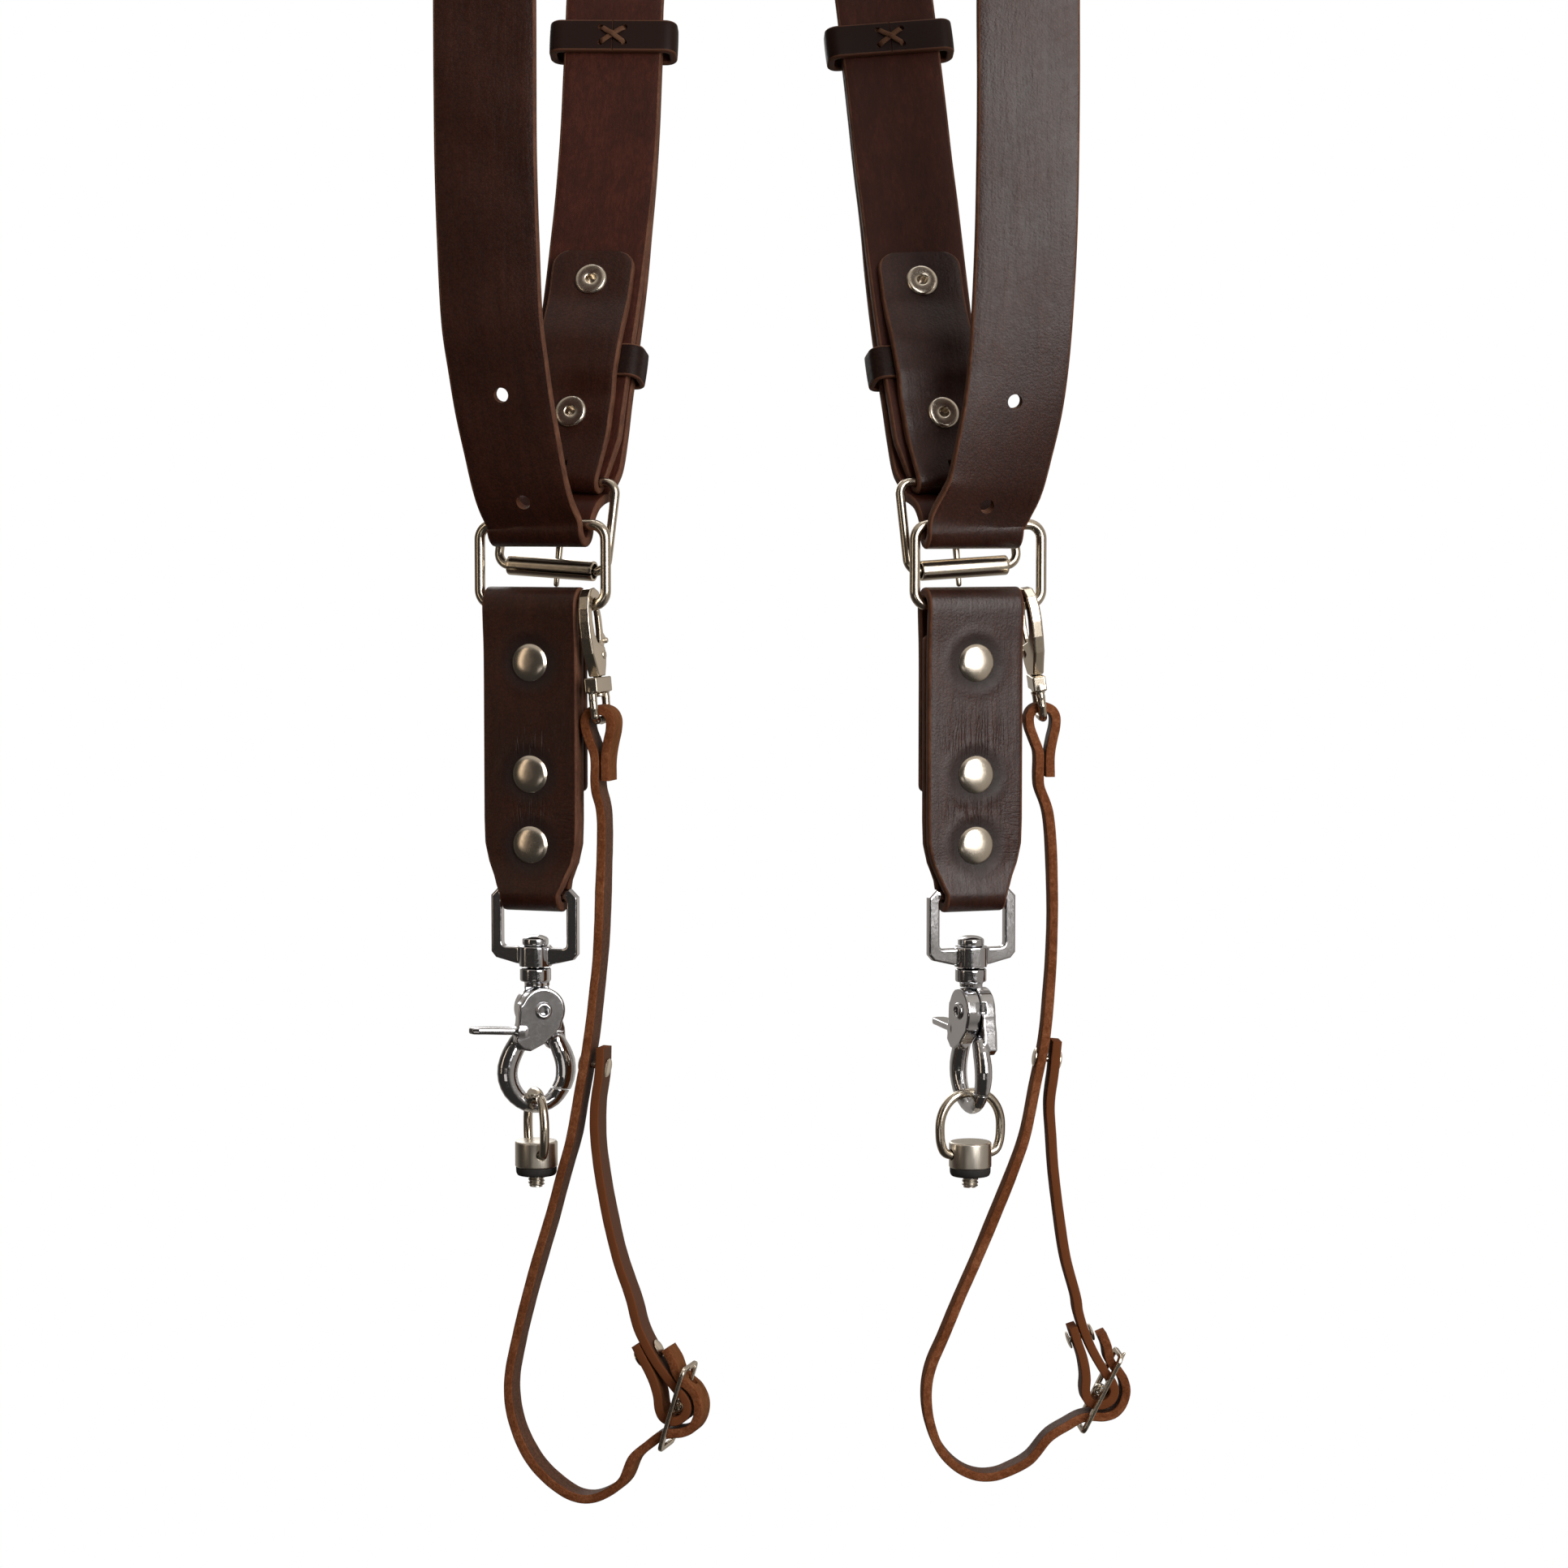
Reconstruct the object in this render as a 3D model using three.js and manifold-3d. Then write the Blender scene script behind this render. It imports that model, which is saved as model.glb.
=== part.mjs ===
// Dual leather shoulder harness ("camera suspenders"): two long shoulder straps
// that cross at the upper back, each buckled to the other one's end at the hip,
// with a hanging leather tab, swivel trigger snap, camera screw and safety tether
// on either side.  Millimetres, +Z up, +X to the wearer's picture right,
// +Y from the front straps towards the back straps.
import * as THREE from 'three';
import { mergeVertices } from 'three/addons/utils/BufferGeometryUtils.js';
import Module from 'manifold-3d';

// ---------------------------------------------------------------- dimensions
const STRAP_W = 38;          // shoulder strap width
const STRAP_T = 3.6;         // shoulder strap thickness
const FOLD_W = 32;           // narrowed strap end folded round the buckle
const FOLD_T = 2.6;          // skived thickness at the buckle bar
const GAP = 0.3;             // running gap between touching pieces
const SIDE_X = 81.3;         // ring centre from the middle of the harness
const RING_Z = -495.6;       // height of the ring's top bar
const YAW = 20;              // outward turn of each hanging assembly, degrees
const RING_WIRE = 2.0, RING_W = 51, RING_H = 30, RING_R = 5.5;   // centre-line sizes
const BUCKLE_WIRE = 1.75, BUCKLE_W = 44.5, BUCKLE_R = 4.6;
const ROLLER_R = 3.75, ROLLER_L = 35;
const TAB_W = 38, TAB_T = 3.6, TAB_U = -3;                     // tab sits off centre in the ring
const EYE_W = 35, EYE_H = 28.6, EYE_T = 3.8;
const TETHER_W = 10, TETHER_T = 3.4;
const HOLE_R = 2.75;
const SCREW_R = 3.1;         // quarter inch camera thread, outside radius
const CAP_R = 8;

// Per side: X sign, place of the parts in the ring (u across, v back, w up).
const SIDES = {
  left:  { s: -1, strapU: -0.5, heel: [2.8, 12.5, 16.8], roll: [-1.9, 7.5, -16.2], hookYaw: 18,
           tilt: 5.5, tetherYaw: -16, buckleTurn: 0, sag: 1.6, holes: [-447.9, -486.7] },
  right: { s: 1, strapU: -2.5, heel: [-5.0, 12.5, 16.8], roll: [-1.8, 7.5, -16.2], hookYaw: -68,
           tilt: 8.5, tetherYaw: 4, buckleTurn: -10, sag: 1.6, holes: [-450.1, -488.2] },
};

// Back straps, main layer, from just above the buckle up to the upper keeper.
const BACK = {
  left: [[-70.7, 18, -466.4], [-69.0, 22.5, -451.1], [-67.1, 28, -435.7], [-65.2, 34, -420.2],
    [-63.4, 40.5, -404.5], [-61.8, 47, -388.8], [-60.3, 53.5, -372.9], [-59.2, 60, -357.0],
    [-58.4, 66, -341.0], [-57.9, 72, -324.8], [-57.4, 78, -308.6], [-56.9, 83, -292.4]],
  right: [[68.4, 18, -466.4], [66.2, 22.5, -451.1], [63.9, 28, -435.7], [61.8, 34, -420.2],
    [60.0, 40.5, -404.5], [58.3, 47, -388.8], [56.6, 53.5, -372.9], [54.7, 60, -357.0],
    [53.1, 66, -341.0], [51.4, 72, -324.8], [49.6, 78, -308.6], [47.7, 83, -292.4]],
};
// From the upper back across to the other shoulder, over it and down the front.
const UPPER = {
  left: [[-54.0, 87.5, -262], [-46.0, 90.5, -232], [-34.0, 92, -204], [-18.5, 92, -177],
    [0, 92, -150], [19.5, 92, -125], [38, 91.5, -102], [56.5, 89.5, -80], [73, 85, -58],
    [86.5, 76, -34], [95, 62, -13], [99, 48, -1.2]],
  right: [[43.4, 87.5, -262], [36.0, 90.5, -232], [26.5, 92, -204], [14.5, 92, -177],
    [0, 92, -150], [-16.5, 92, -125], [-34.5, 91.5, -102], [-54, 89.5, -80], [-72, 85, -58],
    [-86.5, 76, -34], [-95, 62, -13], [-99, 48, -1.2]],
};
const FRONT = {
  left: [[-100.4, 14, -4.5], [-101, 0, -18], [-101, -10, -40], [-100.8, -16, -75], [-100.6, -19.5, -125],
    [-100.4, -21, -185], [-100.3, -21.3, -245], [-100.2, -21, -304.9], [-100.2, -21.3, -334], [-100.1, -21, -363.5],
    [-99.4, -20, -392.9], [-98.2, -18.2, -422.3], [-96.3, -16.6, -437.1], [-94.2, -14.8, -451.9],
    [-91.5, -12.4, -466.7], [-88.6, -9.2, -481.7], [-86.6, -7.2, -488.6]],
  right: [[99.9, 14, -4.5], [100.2, 0, -18], [100, -10, -40], [99.4, -16, -75], [98.8, -19.5, -125],
    [98.2, -21, -185], [97.9, -21.3, -245], [97.7, -21, -304.9], [97.9, -21.3, -334], [97.8, -21, -363.5],
    [97.3, -20, -392.9], [96.0, -18.2, -422.3], [94.9, -16.6, -437.1], [93.1, -14.8, -451.9],
    [90.2, -12.4, -466.7], [86.6, -9.2, -481.7], [83.4, -7.2, -488.6]],
};
// Tether: in its own plane (a across, height), measured from the clasp eye's bar.
const TETHER_MAIN = {
  left: [[1.0, -602], [0.6, -632.6], [-0.4, -654], [-2.0, -669.3], [-4.3, -687.7], [-8.3, -709.4], [-11.2, -724.9],
    [-14.8, -737.3], [-20.1, -756.1], [-25.0, -771.8], [-29.6, -787.6], [-33.6, -803.4], [-36.4, -818],
    [-36.2, -827.5], [-34.4, -835.5], [-30.9, -843.7], [-25.7, -851.2], [-17.9, -857.8], [-10.8, -861.4],
    [-4.5, -861.8], [2.1, -859.3], [8.6, -854.1]],
  right: [[2.4, -603.5], [4.4, -634.2], [4.2, -655.7], [3.3, -671.2], [1.6, -689.7], [-2.0, -708.2], [-5.7, -726.7],
    [-9.9, -739.1], [-17.3, -757.6], [-23.7, -773.1], [-30.5, -788.6], [-36.9, -804.1], [-40.9, -813.4],
    [-42.6, -820.6], [-42.8, -828.4], [-41.5, -836.4], [-37.7, -846.2], [-30.9, -853.4], [-23.7, -856.6],
    [-17.0, -856.7], [-10.8, -854.6], [-3.6, -850.6]],
};
const TETHER_BRANCH = {
  left: [[0.5, -690.6], [0.1, -700], [-1.6, -712], [-1.7, -724.4], [-0.3, -736.7], [3.1, -754.9], [6.9, -770.1], [12.3, -785.3]],
  right: [[6.1, -690.3], [5.0, -702], [3.6, -714], [4.3, -726.8], [5.2, -739.3], [7.5, -757.9], [10.0, -773.5], [14.2, -789.2]],
};
const TETHER_BUCKLE = { left: [29.3, -825.0], right: [23.6, -825.0] };
// Round the little buckle, measured from its centre bar.
const LOCAL_MAIN = [[-16.4, -20.0], [-10.3, -14.6], [-6.0, -11.2], [-2.0, -9.7], [2.6, -9.1], [6.6, -7.1], [9.0, -3.0], [9.3, 2.4], [7.0, 7.2],
  [3.3, 10.3], [0.8, 13.3], [-0.8, 17.6], [-3.7, 22.2]];
const LOCAL_BRANCH = [[-14.2, 29.6], [-10.6, 22.4], [-5.6, 14.8], [0.3, 7.7], [3.6, 4.3], [5.0, 1.0], [4.2, -2.2], [1.6, -4.4], [-1.7, -5.0],
  [-4.5, -3.6], [-6.0, -0.4], [-6.6, 4.2], [-8.1, 9.2], [-9.7, 12.9], [-12.0, 17.0], [-15.2, 23.0]];

const COLOUR = { leather: 0x2e1b14, flesh: 0x5a2c1c, edge: 0x7a4a32, nickel: 0xb7ad9c, chrome: 0xd7d8dc, rubber: 0x1a1a1a };

// ------------------------------------------------------------------- helpers
const wasm = await Module();
wasm.setup();
const rad = Math.PI / 180;
const V = (x, y, z) => new THREE.Vector3(x, y, z);
const X = V(1, 0, 0), Y = V(0, 1, 0), Z = V(0, 0, 1);
const harness = new THREE.Group();

function solid(geometry) {
  const g = geometry.index ? geometry.clone() : geometry.clone();
  for (const a of ['normal', 'uv']) if (g.attributes[a]) g.deleteAttribute(a);
  const m = mergeVertices(g, 1e-4);
  const pos = m.attributes.position.array, idx = [];
  for (let i = 0; i < m.index.count; i += 3) {
    const [a, b, c] = [m.index.array[i], m.index.array[i + 1], m.index.array[i + 2]];
    if (a !== b && b !== c && a !== c) idx.push(a, b, c);
  }
  let vol = 0;
  for (let i = 0; i < idx.length; i += 3) {
    const [a, b, c] = [idx[i] * 3, idx[i + 1] * 3, idx[i + 2] * 3];
    vol += pos[a] * (pos[b + 1] * pos[c + 2] - pos[b + 2] * pos[c + 1])
      - pos[a + 1] * (pos[b] * pos[c + 2] - pos[b + 2] * pos[c])
      + pos[a + 2] * (pos[b] * pos[c + 1] - pos[b + 1] * pos[c]);
  }
  if (vol < 0) for (let i = 0; i < idx.length; i += 3) [idx[i], idx[i + 1]] = [idx[i + 1], idx[i]];
  return new wasm.Manifold(new wasm.Mesh({ numProp: 3, vertProperties: new Float32Array(pos), triVerts: new Uint32Array(idx) }));
}
function geometryOf(man) {
  const m = man.getMesh(), g = new THREE.BufferGeometry();
  g.setAttribute('position', new THREE.BufferAttribute(new Float32Array(m.vertProperties), 3));
  g.setIndex(new THREE.BufferAttribute(new Uint32Array(m.triVerts), 1));
  g.computeVertexNormals();
  return g;
}
function put(name, man, colour, roughness, metalness, group = harness) {
  const mesh = new THREE.Mesh(geometryOf(man), new THREE.MeshStandardMaterial({ color: colour, roughness, metalness }));
  mesh.name = name;
  group.add(mesh);
}
// Rigid placement of a geometry: local x, y, z axes and origin.
function at(geometry, o, x, y, z) {
  geometry.applyMatrix4(new THREE.Matrix4().makeBasis(x, y, z).setPosition(o));
  return geometry;
}
const cyl = (r, a, b, seg = 12) => {            // cylinder from point a to point b
  const d = b.clone().sub(a), len = d.length(), y = d.normalize();
  const x = (Math.abs(y.z) < 0.9 ? Z : X).clone().cross(y).normalize(), z = x.clone().cross(y);
  return solid(at(new THREE.CylinderGeometry(r, r, len, seg), a.clone().add(b).multiplyScalar(0.5), x, y, z));
};
const box = (c, size, x = X, y = Y, z = Z) => solid(at(new THREE.BoxGeometry(...size), c, x, y, z));
// Surface of revolution about an axis through o: profile of [radius, height].
function lathe(profile, o, axis, seg = 12) {
  const y = axis.clone().normalize(), x = (Math.abs(y.z) < 0.9 ? Z : X).clone().cross(y).normalize();
  return solid(at(new THREE.LatheGeometry(profile.map(p => new THREE.Vector2(...p)), seg), o, x, y, x.clone().cross(y)));
}
// Outline in the plane (x, y) pushed along z between depths d0 and d1.
function plate(outline, holes, o, x, y, z, d0, d1) {
  const shape = new THREE.Shape(outline.map(p => new THREE.Vector2(...p)));
  for (const h of holes) shape.holes.push(new THREE.Path(h.map(p => new THREE.Vector2(...p))));
  const g = new THREE.ExtrudeGeometry(shape, { depth: d1 - d0, bevelEnabled: false, curveSegments: 6 });
  g.translate(0, 0, d0);
  return solid(at(g, o, x, y, z));
}
const disc = (cx, cy, r, n = 20, a0 = 0, a1 = 360) => Array.from({ length: n + (a1 - a0 === 360 ? 0 : 1) }, (_, i) => {
  const a = (a0 + (a1 - a0) * i / n) * rad;
  return [cx + r * Math.cos(a), cy + r * Math.sin(a)];
});
function roundRect(w, h, r, n = 3, cx = 0, cy = 0) {
  const out = [];
  for (const [sx, sy, a] of [[1, 1, 0], [-1, 1, 90], [-1, -1, 180], [1, -1, 270]])
    for (let i = 0; i <= n; i++) {
      const t = (a + 90 * i / n) * rad;
      out.push([cx + sx * (w / 2 - r) + r * Math.cos(t), cy + sy * (h / 2 - r) + r * Math.sin(t)]);
    }
  return out;
}
// Frames along a path: stations {p, yaw, w?, t?}; width direction across, normal on the grain side.
function frames(st) {
  return st.map((q, i) => {
    const a = st[Math.max(0, i - 1)].p, b = st[Math.min(st.length - 1, i + 1)].p;
    let T = b.clone().sub(a);
    if (i > 0 && i < st.length - 1) {
      const u = q.p.clone().sub(a), v = b.clone().sub(q.p);
      T = u.clone().normalize().multiplyScalar(1 / u.length()).add(v.clone().normalize().multiplyScalar(1 / v.length()));
    }
    T.normalize();
    const W0 = q.W ? q.W.clone() : V(Math.cos(q.yaw * rad), Math.sin(q.yaw * rad), 0);
    const W = W0.sub(T.clone().multiplyScalar(W0.dot(T))).normalize();
    const N = T.clone().cross(W);
    if (q.flat) return { p: q.p, T: q.flat, W: X.clone(), N: q.flat.clone().cross(X), w: q.w ?? STRAP_W, t: q.t ?? STRAP_T };
    return { p: q.p, T, W, N, w: q.w ?? STRAP_W, t: q.t ?? STRAP_T };
  });
}
// Flat strap: a box bent through the frames.
function strap(fr) {
  const g = new THREE.BoxGeometry(1, 1, 1, 1, 1, fr.length - 1), pos = g.attributes.position;
  for (let i = 0; i < pos.count; i++) {
    const f = fr[Math.round((pos.getZ(i) + 0.5) * (fr.length - 1))];
    const p = f.p.clone().addScaledVector(f.W, pos.getX(i) * f.w).addScaledVector(f.N, pos.getY(i) * f.t);
    pos.setXYZ(i, p.x, p.y, p.z);
  }
  return solid(g);
}
// Round bar bent through open frames, radii rw across and rn along the normal.
function wire(fr, radial = 8) {
  const g = new THREE.CylinderGeometry(1, 1, 1, radial, fr.length - 1), pos = g.attributes.position;
  for (let i = 0; i < pos.count; i++) {
    const f = fr[Math.round((pos.getY(i) + 0.5) * (fr.length - 1))];
    const p = f.p.clone().addScaledVector(f.W, pos.getX(i) * f.w).addScaledVector(f.N, pos.getZ(i) * f.t);
    pos.setXYZ(i, p.x, p.y, p.z);
  }
  return solid(g);
}
// Round bar bent into a closed planar loop of points, plane normal n.
function loopWire(points, n, r, radial = 7) {
  const k = points.length, g = new THREE.TorusGeometry(1, 0.25, radial, k), pos = g.attributes.position;
  for (let i = 0; i < pos.count; i++) {
    const x = pos.getX(i), y = pos.getY(i), z = pos.getZ(i);
    const j = Math.round(Math.atan2(y, x) / (2 * Math.PI) * k + k) % k;
    const a = points[(j + k - 1) % k], b = points[(j + 1) % k], T = b.clone().sub(a).normalize();
    const out = T.clone().cross(n).normalize();
    const p = points[j].clone().addScaledVector(out, (Math.hypot(x, y) - 1) * 4 * r).addScaledVector(n, z * 4 * r);
    pos.setXYZ(i, p.x, p.y, p.z);
  }
  return solid(g);
}
const path2 = (pts, o, x, y) => pts.map(([a, b]) => o.clone().addScaledVector(x, a).addScaledVector(y, b));
// Rivet: cap radii and heights either side of a stack from -d0 to d1 along the axis.
const rivet = (o, axis, d0, d1, rCap, hCap, rBack, hBack, shaft = 2, seg = 10) => lathe([
  [0, -d0 - GAP - hCap], [rCap * 0.66, -d0 - GAP - hCap * 0.8], [rCap, -d0 - GAP],
  [shaft, -d0 - GAP], [shaft, d1 + GAP], [rBack, d1 + GAP], [rBack * 0.7, d1 + GAP + hBack], [0, d1 + GAP + hBack]], o, axis, seg);

// ------------------------------------------------------------- side by side
const side = {};
for (const [name, S] of Object.entries(SIDES)) {
  const yaw = S.s * YAW, x = V(Math.cos(yaw * rad), Math.sin(yaw * rad), 0), y = V(-Math.sin(yaw * rad), Math.cos(yaw * rad), 0);
  const o = V(S.s * SIDE_X, 0, RING_Z);
  const w = (a, b, c) => o.clone().addScaledVector(x, a).addScaledVector(y, b).addScaledVector(Z, c);
  side[name] = { ...S, yaw, x, y, o, w };
}
const YAW_BACK = [1, 0.95, 0.85, 0.75, 0.65, 0.55, 0.45, 0.38, 0.3, 0.25, 0.2, 0.16, 0.12];
// Back strap base line with frames; first station touches the buckle's heel bar.
for (const name of ['left', 'right']) {
  const S = side[name], H = S.w(...S.heel), up = V(...BACK[name][0]).sub(H).normalize();
  let T = up.clone();
  for (let k = 0; k < 2; k++) {                                 // start beside the bar, square to the line
    const W = S.x.clone().sub(T.clone().multiplyScalar(S.x.dot(T))).normalize(), N = T.clone().cross(W);
    S.start = H.clone().addScaledVector(N, BUCKLE_WIRE + 0.25 + FOLD_T / 2);
    T = V(...BACK[name][0]).sub(S.start).normalize();
    S.hN = N; S.hW = W; S.hT = N.clone().cross(W).negate();
  }
  S.hT = S.hW.clone().cross(S.hN);
  const pts = [S.start, ...BACK[name].map(p => V(...p))];
  const curve = new THREE.CatmullRomCurve3(pts, false, 'centripetal');
  const n = 22, st = [];
  for (let i = 0; i <= n; i++) {
    const l = i / n, t = curve.getUtoTmapping(l), k = t * (pts.length - 1), j = Math.min(pts.length - 2, Math.floor(k)), f = k - j;
    st.push({ p: curve.getPoint(t), yaw: S.yaw * (YAW_BACK[j] * (1 - f) + YAW_BACK[j + 1] * f) });
  }
  S.length = curve.getLength();
  S.base = frames(st);
  Object.assign(S.base[0], { T: S.hT, W: S.hW, N: S.hN });
  S.H = H;
  S.at = l => {                                                  // frame at a distance up the strap
    const k = Math.min(n, Math.max(0, l / S.length * n)), j = Math.min(n - 1, Math.floor(k)), f = k - j, A = S.base[j], B = S.base[j + 1];
    const W = A.W.clone().lerp(B.W, f).normalize(), T = A.T.clone().lerp(B.T, f).normalize();
    return { p: A.p.clone().lerp(B.p, f), W, T, N: T.clone().cross(W).normalize() };
  };
}
const lerpTable = (tab, l) => {
  for (let i = 1; i < tab.length; i++) if (l <= tab[i][0]) {
    const f = Math.max(0, (l - tab[i - 1][0]) / (tab[i][0] - tab[i - 1][0]));
    return tab[i - 1][1] + (tab[i][1] - tab[i - 1][1]) * f;
  }
  return tab[tab.length - 1][1];
};
const RIVET_LOW = 26, KEEPER_LOW = 48, RIVET_HIGH = 80, KEEPER_HIGH = 184;
const FOLD_OFF = [[0, 6.6], [8, 6.2], [18, 4.9], [33, 4.9], [41, 7.0], [55, 7.0], [72.5, 4.0], [200, 4.0]];
const TAIL_OFF = [[0, 6.9], [8, 6.4], [88, 6.2], [108, 4.15], [300, 4.15]];
const FOLD_END = 92, TAIL_END = 199;

// ----------------------------------------------------- the two shoulder straps
// Each strap starts folded round the buckle on one side, climbs the back, crosses
// over to the other shoulder, comes down the front, turns under the other side's
// ring and runs back up through that side's buckle and keepers.
function shoulderStrap(from, to) {
  const A = side[from], B = side[to], st = [];
  for (const l of [FOLD_END, FOLD_END - 3, FOLD_END - 8, 72.5, 64, 55, 48, 41, 33, RIVET_LOW, 18, 12, 6]) {
    const f = A.at(l), d = FOLD_END - l;
    st.push({ p: f.p.clone().addScaledVector(f.N, -lerpTable(FOLD_OFF, l)), W: f.W, w: d === 0 ? FOLD_W - 9 : d === 3 ? FOLD_W - 2.5 : FOLD_W, t: l > 14 ? STRAP_T : FOLD_T });
  }
  const r = BUCKLE_WIRE + 0.25 + FOLD_T / 2;
  for (let i = 0; i < 8; i++) {
    const a = i / 8 * Math.PI;
    st.push({ p: A.H.clone().addScaledVector(A.hN, -r * Math.cos(a)).addScaledVector(A.hT, -r * Math.sin(a)), W: A.hW, w: FOLD_W, t: FOLD_T });
  }
  A.base.forEach((f, i) => st.push({ p: f.p, W: f.W, w: i === 0 ? FOLD_W : i === 1 ? 35 : STRAP_W, t: i === 0 ? FOLD_T : i === 1 ? 3.1 : STRAP_T }));
  const lift = from === 'right' ? 2.45 : -2.45;
  UPPER[from].forEach((p, i) => st.push({ p: V(p[0], p[1] + lift * Math.min(1, Math.min(i + 1, 3) / 3) * (i > 8 ? (12 - i) / 4 : 1), p[2] + STRAP_T / 2), yaw: 0 }));
  st.push({ p: V(B.s * 99.8, 36, STRAP_T / 2), yaw: 0, flat: V(0, -1, 0) }, { p: V(B.s * 99.8, 26, STRAP_T / 2), yaw: 0, flat: V(0, -1, 0) });
  FRONT[to].forEach((p, i) => {
    st.push({ p: V(...p), yaw: B.yaw * [0, 0.05, 0.12, 0.2, 0.27, 0.33, 0.38, 0.4, 0.4, 0.41, 0.44, 0.5, 0.59, 0.7, 0.83, 0.94, 0.98][i] });
  });
  const R = RING_WIRE + 1.0 + STRAP_T / 2;                       // turn under the ring's top bar
  for (let i = 0; i <= 8; i++) {
    const a = i / 8 * Math.PI;
    st.push({ p: B.w(B.strapU - 0.6 * (1 - i / 8), -R * Math.cos(a), -(R + B.sag) * Math.sin(a)), W: B.x });
  }
  const hu = B.heel[0];
  for (const [v, h] of [[5.3, 3.6], [8.0, 7.4], [12.6, 9.7], [17.3, 11.3], [20.2, 15.6]]) {
    const f = h / 16.8, u = B.strapU + (hu - B.strapU) * f;
    st.push({ p: B.w(u, v, h), W: B.x.clone().lerp(B.hW, f).normalize() });
  }
  for (let l = 8; l <= TAIL_END + 0.1; l += (TAIL_END - 8) / 16) {
    const f = B.at(l), d = TAIL_END - l;
    st.push({ p: f.p.clone().addScaledVector(f.N, lerpTable(TAIL_OFF, l)), W: f.W, w: d < 1 ? STRAP_W - 12 : d < 10 ? STRAP_W - 1.5 : STRAP_W });
  }
  return frames(st);
}
const strapFrames = { left: shoulderStrap('right', 'left'), right: shoulderStrap('left', 'right') };

for (const name of ['left', 'right']) {
  const other = name === 'left' ? 'right' : 'left', B = side[name], A = side[other];
  let body = strap(strapFrames[name]);
  // the fold's two rivets and the slot for the prong, at the strap's far end
  for (const l of [RIVET_LOW, RIVET_HIGH]) {
    const f = A.at(l);
    body = body.subtract(cyl(2.3, f.p.clone().addScaledVector(f.N, -12), f.p.clone().addScaledVector(f.N, 4), 8));
  }
  body = body.subtract(box(A.H.clone().addScaledVector(A.hN, 0.6).addScaledVector(A.hT, -0.4), [5.2, 13.4, 13.4], A.hW, A.hN, A.hT));
  // front strap holes
  const fr = strapFrames[name];
  for (const z of B.holes) {
    let best = null;
    for (let i = 1; i < fr.length; i++) {
      const a = fr[i - 1], b = fr[i];
      if (a.p.y < 0 && b.p.z < a.p.z && a.p.z >= z && b.p.z < z) { const f = (a.p.z - z) / (a.p.z - b.p.z); best = { p: a.p.clone().lerp(b.p, f), N: a.N.clone().lerp(b.N, f).normalize() }; }
    }
    body = body.subtract(cyl(HOLE_R, best.p.clone().addScaledVector(best.N, -5), best.p.clone().addScaledVector(best.N, 5), 10));
  }
  B.body = body;
}
// Prong line of each buckle: from beside the heel bar to past the roller.
for (const name of ['left', 'right']) {
  const S = side[name], R = S.w(...S.roll), H = S.H;
  const D = R.clone().sub(H); D.addScaledVector(S.hW, -D.dot(S.hW)); const len = D.length(); D.normalize();
  const n = S.hW.clone().cross(D).normalize(); if (n.dot(S.y) < 0) n.negate();
  S.D = D; S.n = n; S.R = H.clone().addScaledVector(D, len); S.span = len;
  S.prongA = H.clone().addScaledVector(n, 3.4);
  S.prongB = H.clone().addScaledVector(n, 3.4 + (ROLLER_R + 0.35 + 1.3 - 3.4) * (len + 5.5) / len).addScaledVector(D, len + 5.5);
  S.body = S.body.subtract(cyl(HOLE_R, S.prongA.clone().addScaledVector(D, 1.6), S.prongA.clone().lerp(S.prongB, 0.42), 12));
}
// Rivet through both straps and the patch at the crossing.
const CROSS = V(0, 92, -150 + STRAP_T / 2);
for (const name of ['left', 'right']) side[name].body = side[name].body.subtract(cyl(2.9, CROSS.clone().addScaledVector(Y, -8), CROSS.clone().addScaledVector(Y, 8), 8));
put('shoulder_strap_left', side.left.body, COLOUR.leather, 0.55, 0);
put('shoulder_strap_right', side.right.body, COLOUR.leather, 0.55, 0);
const PATCH_Y = 92 + 2.45 + STRAP_T / 2 + GAP + 0.1;
put('back_patch', plate(roundRect(58, 58, 9, 3), [disc(0, 0, 2.9, 8)], V(0, PATCH_Y, CROSS.z), V(Math.SQRT1_2, 0, Math.SQRT1_2), V(-Math.SQRT1_2, 0, Math.SQRT1_2), V(0, -1, 0), -2.4, 0), COLOUR.leather, 0.55, 0);
put('back_rivet', rivet(V(0, 92, CROSS.z), Y, 2.45 + 1.8 + 0.2, PATCH_Y + 2.4 - 92, 5.5, 1.6, 6.3, 1.9, 2.2), COLOUR.nickel, 0.35, 1);

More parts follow.
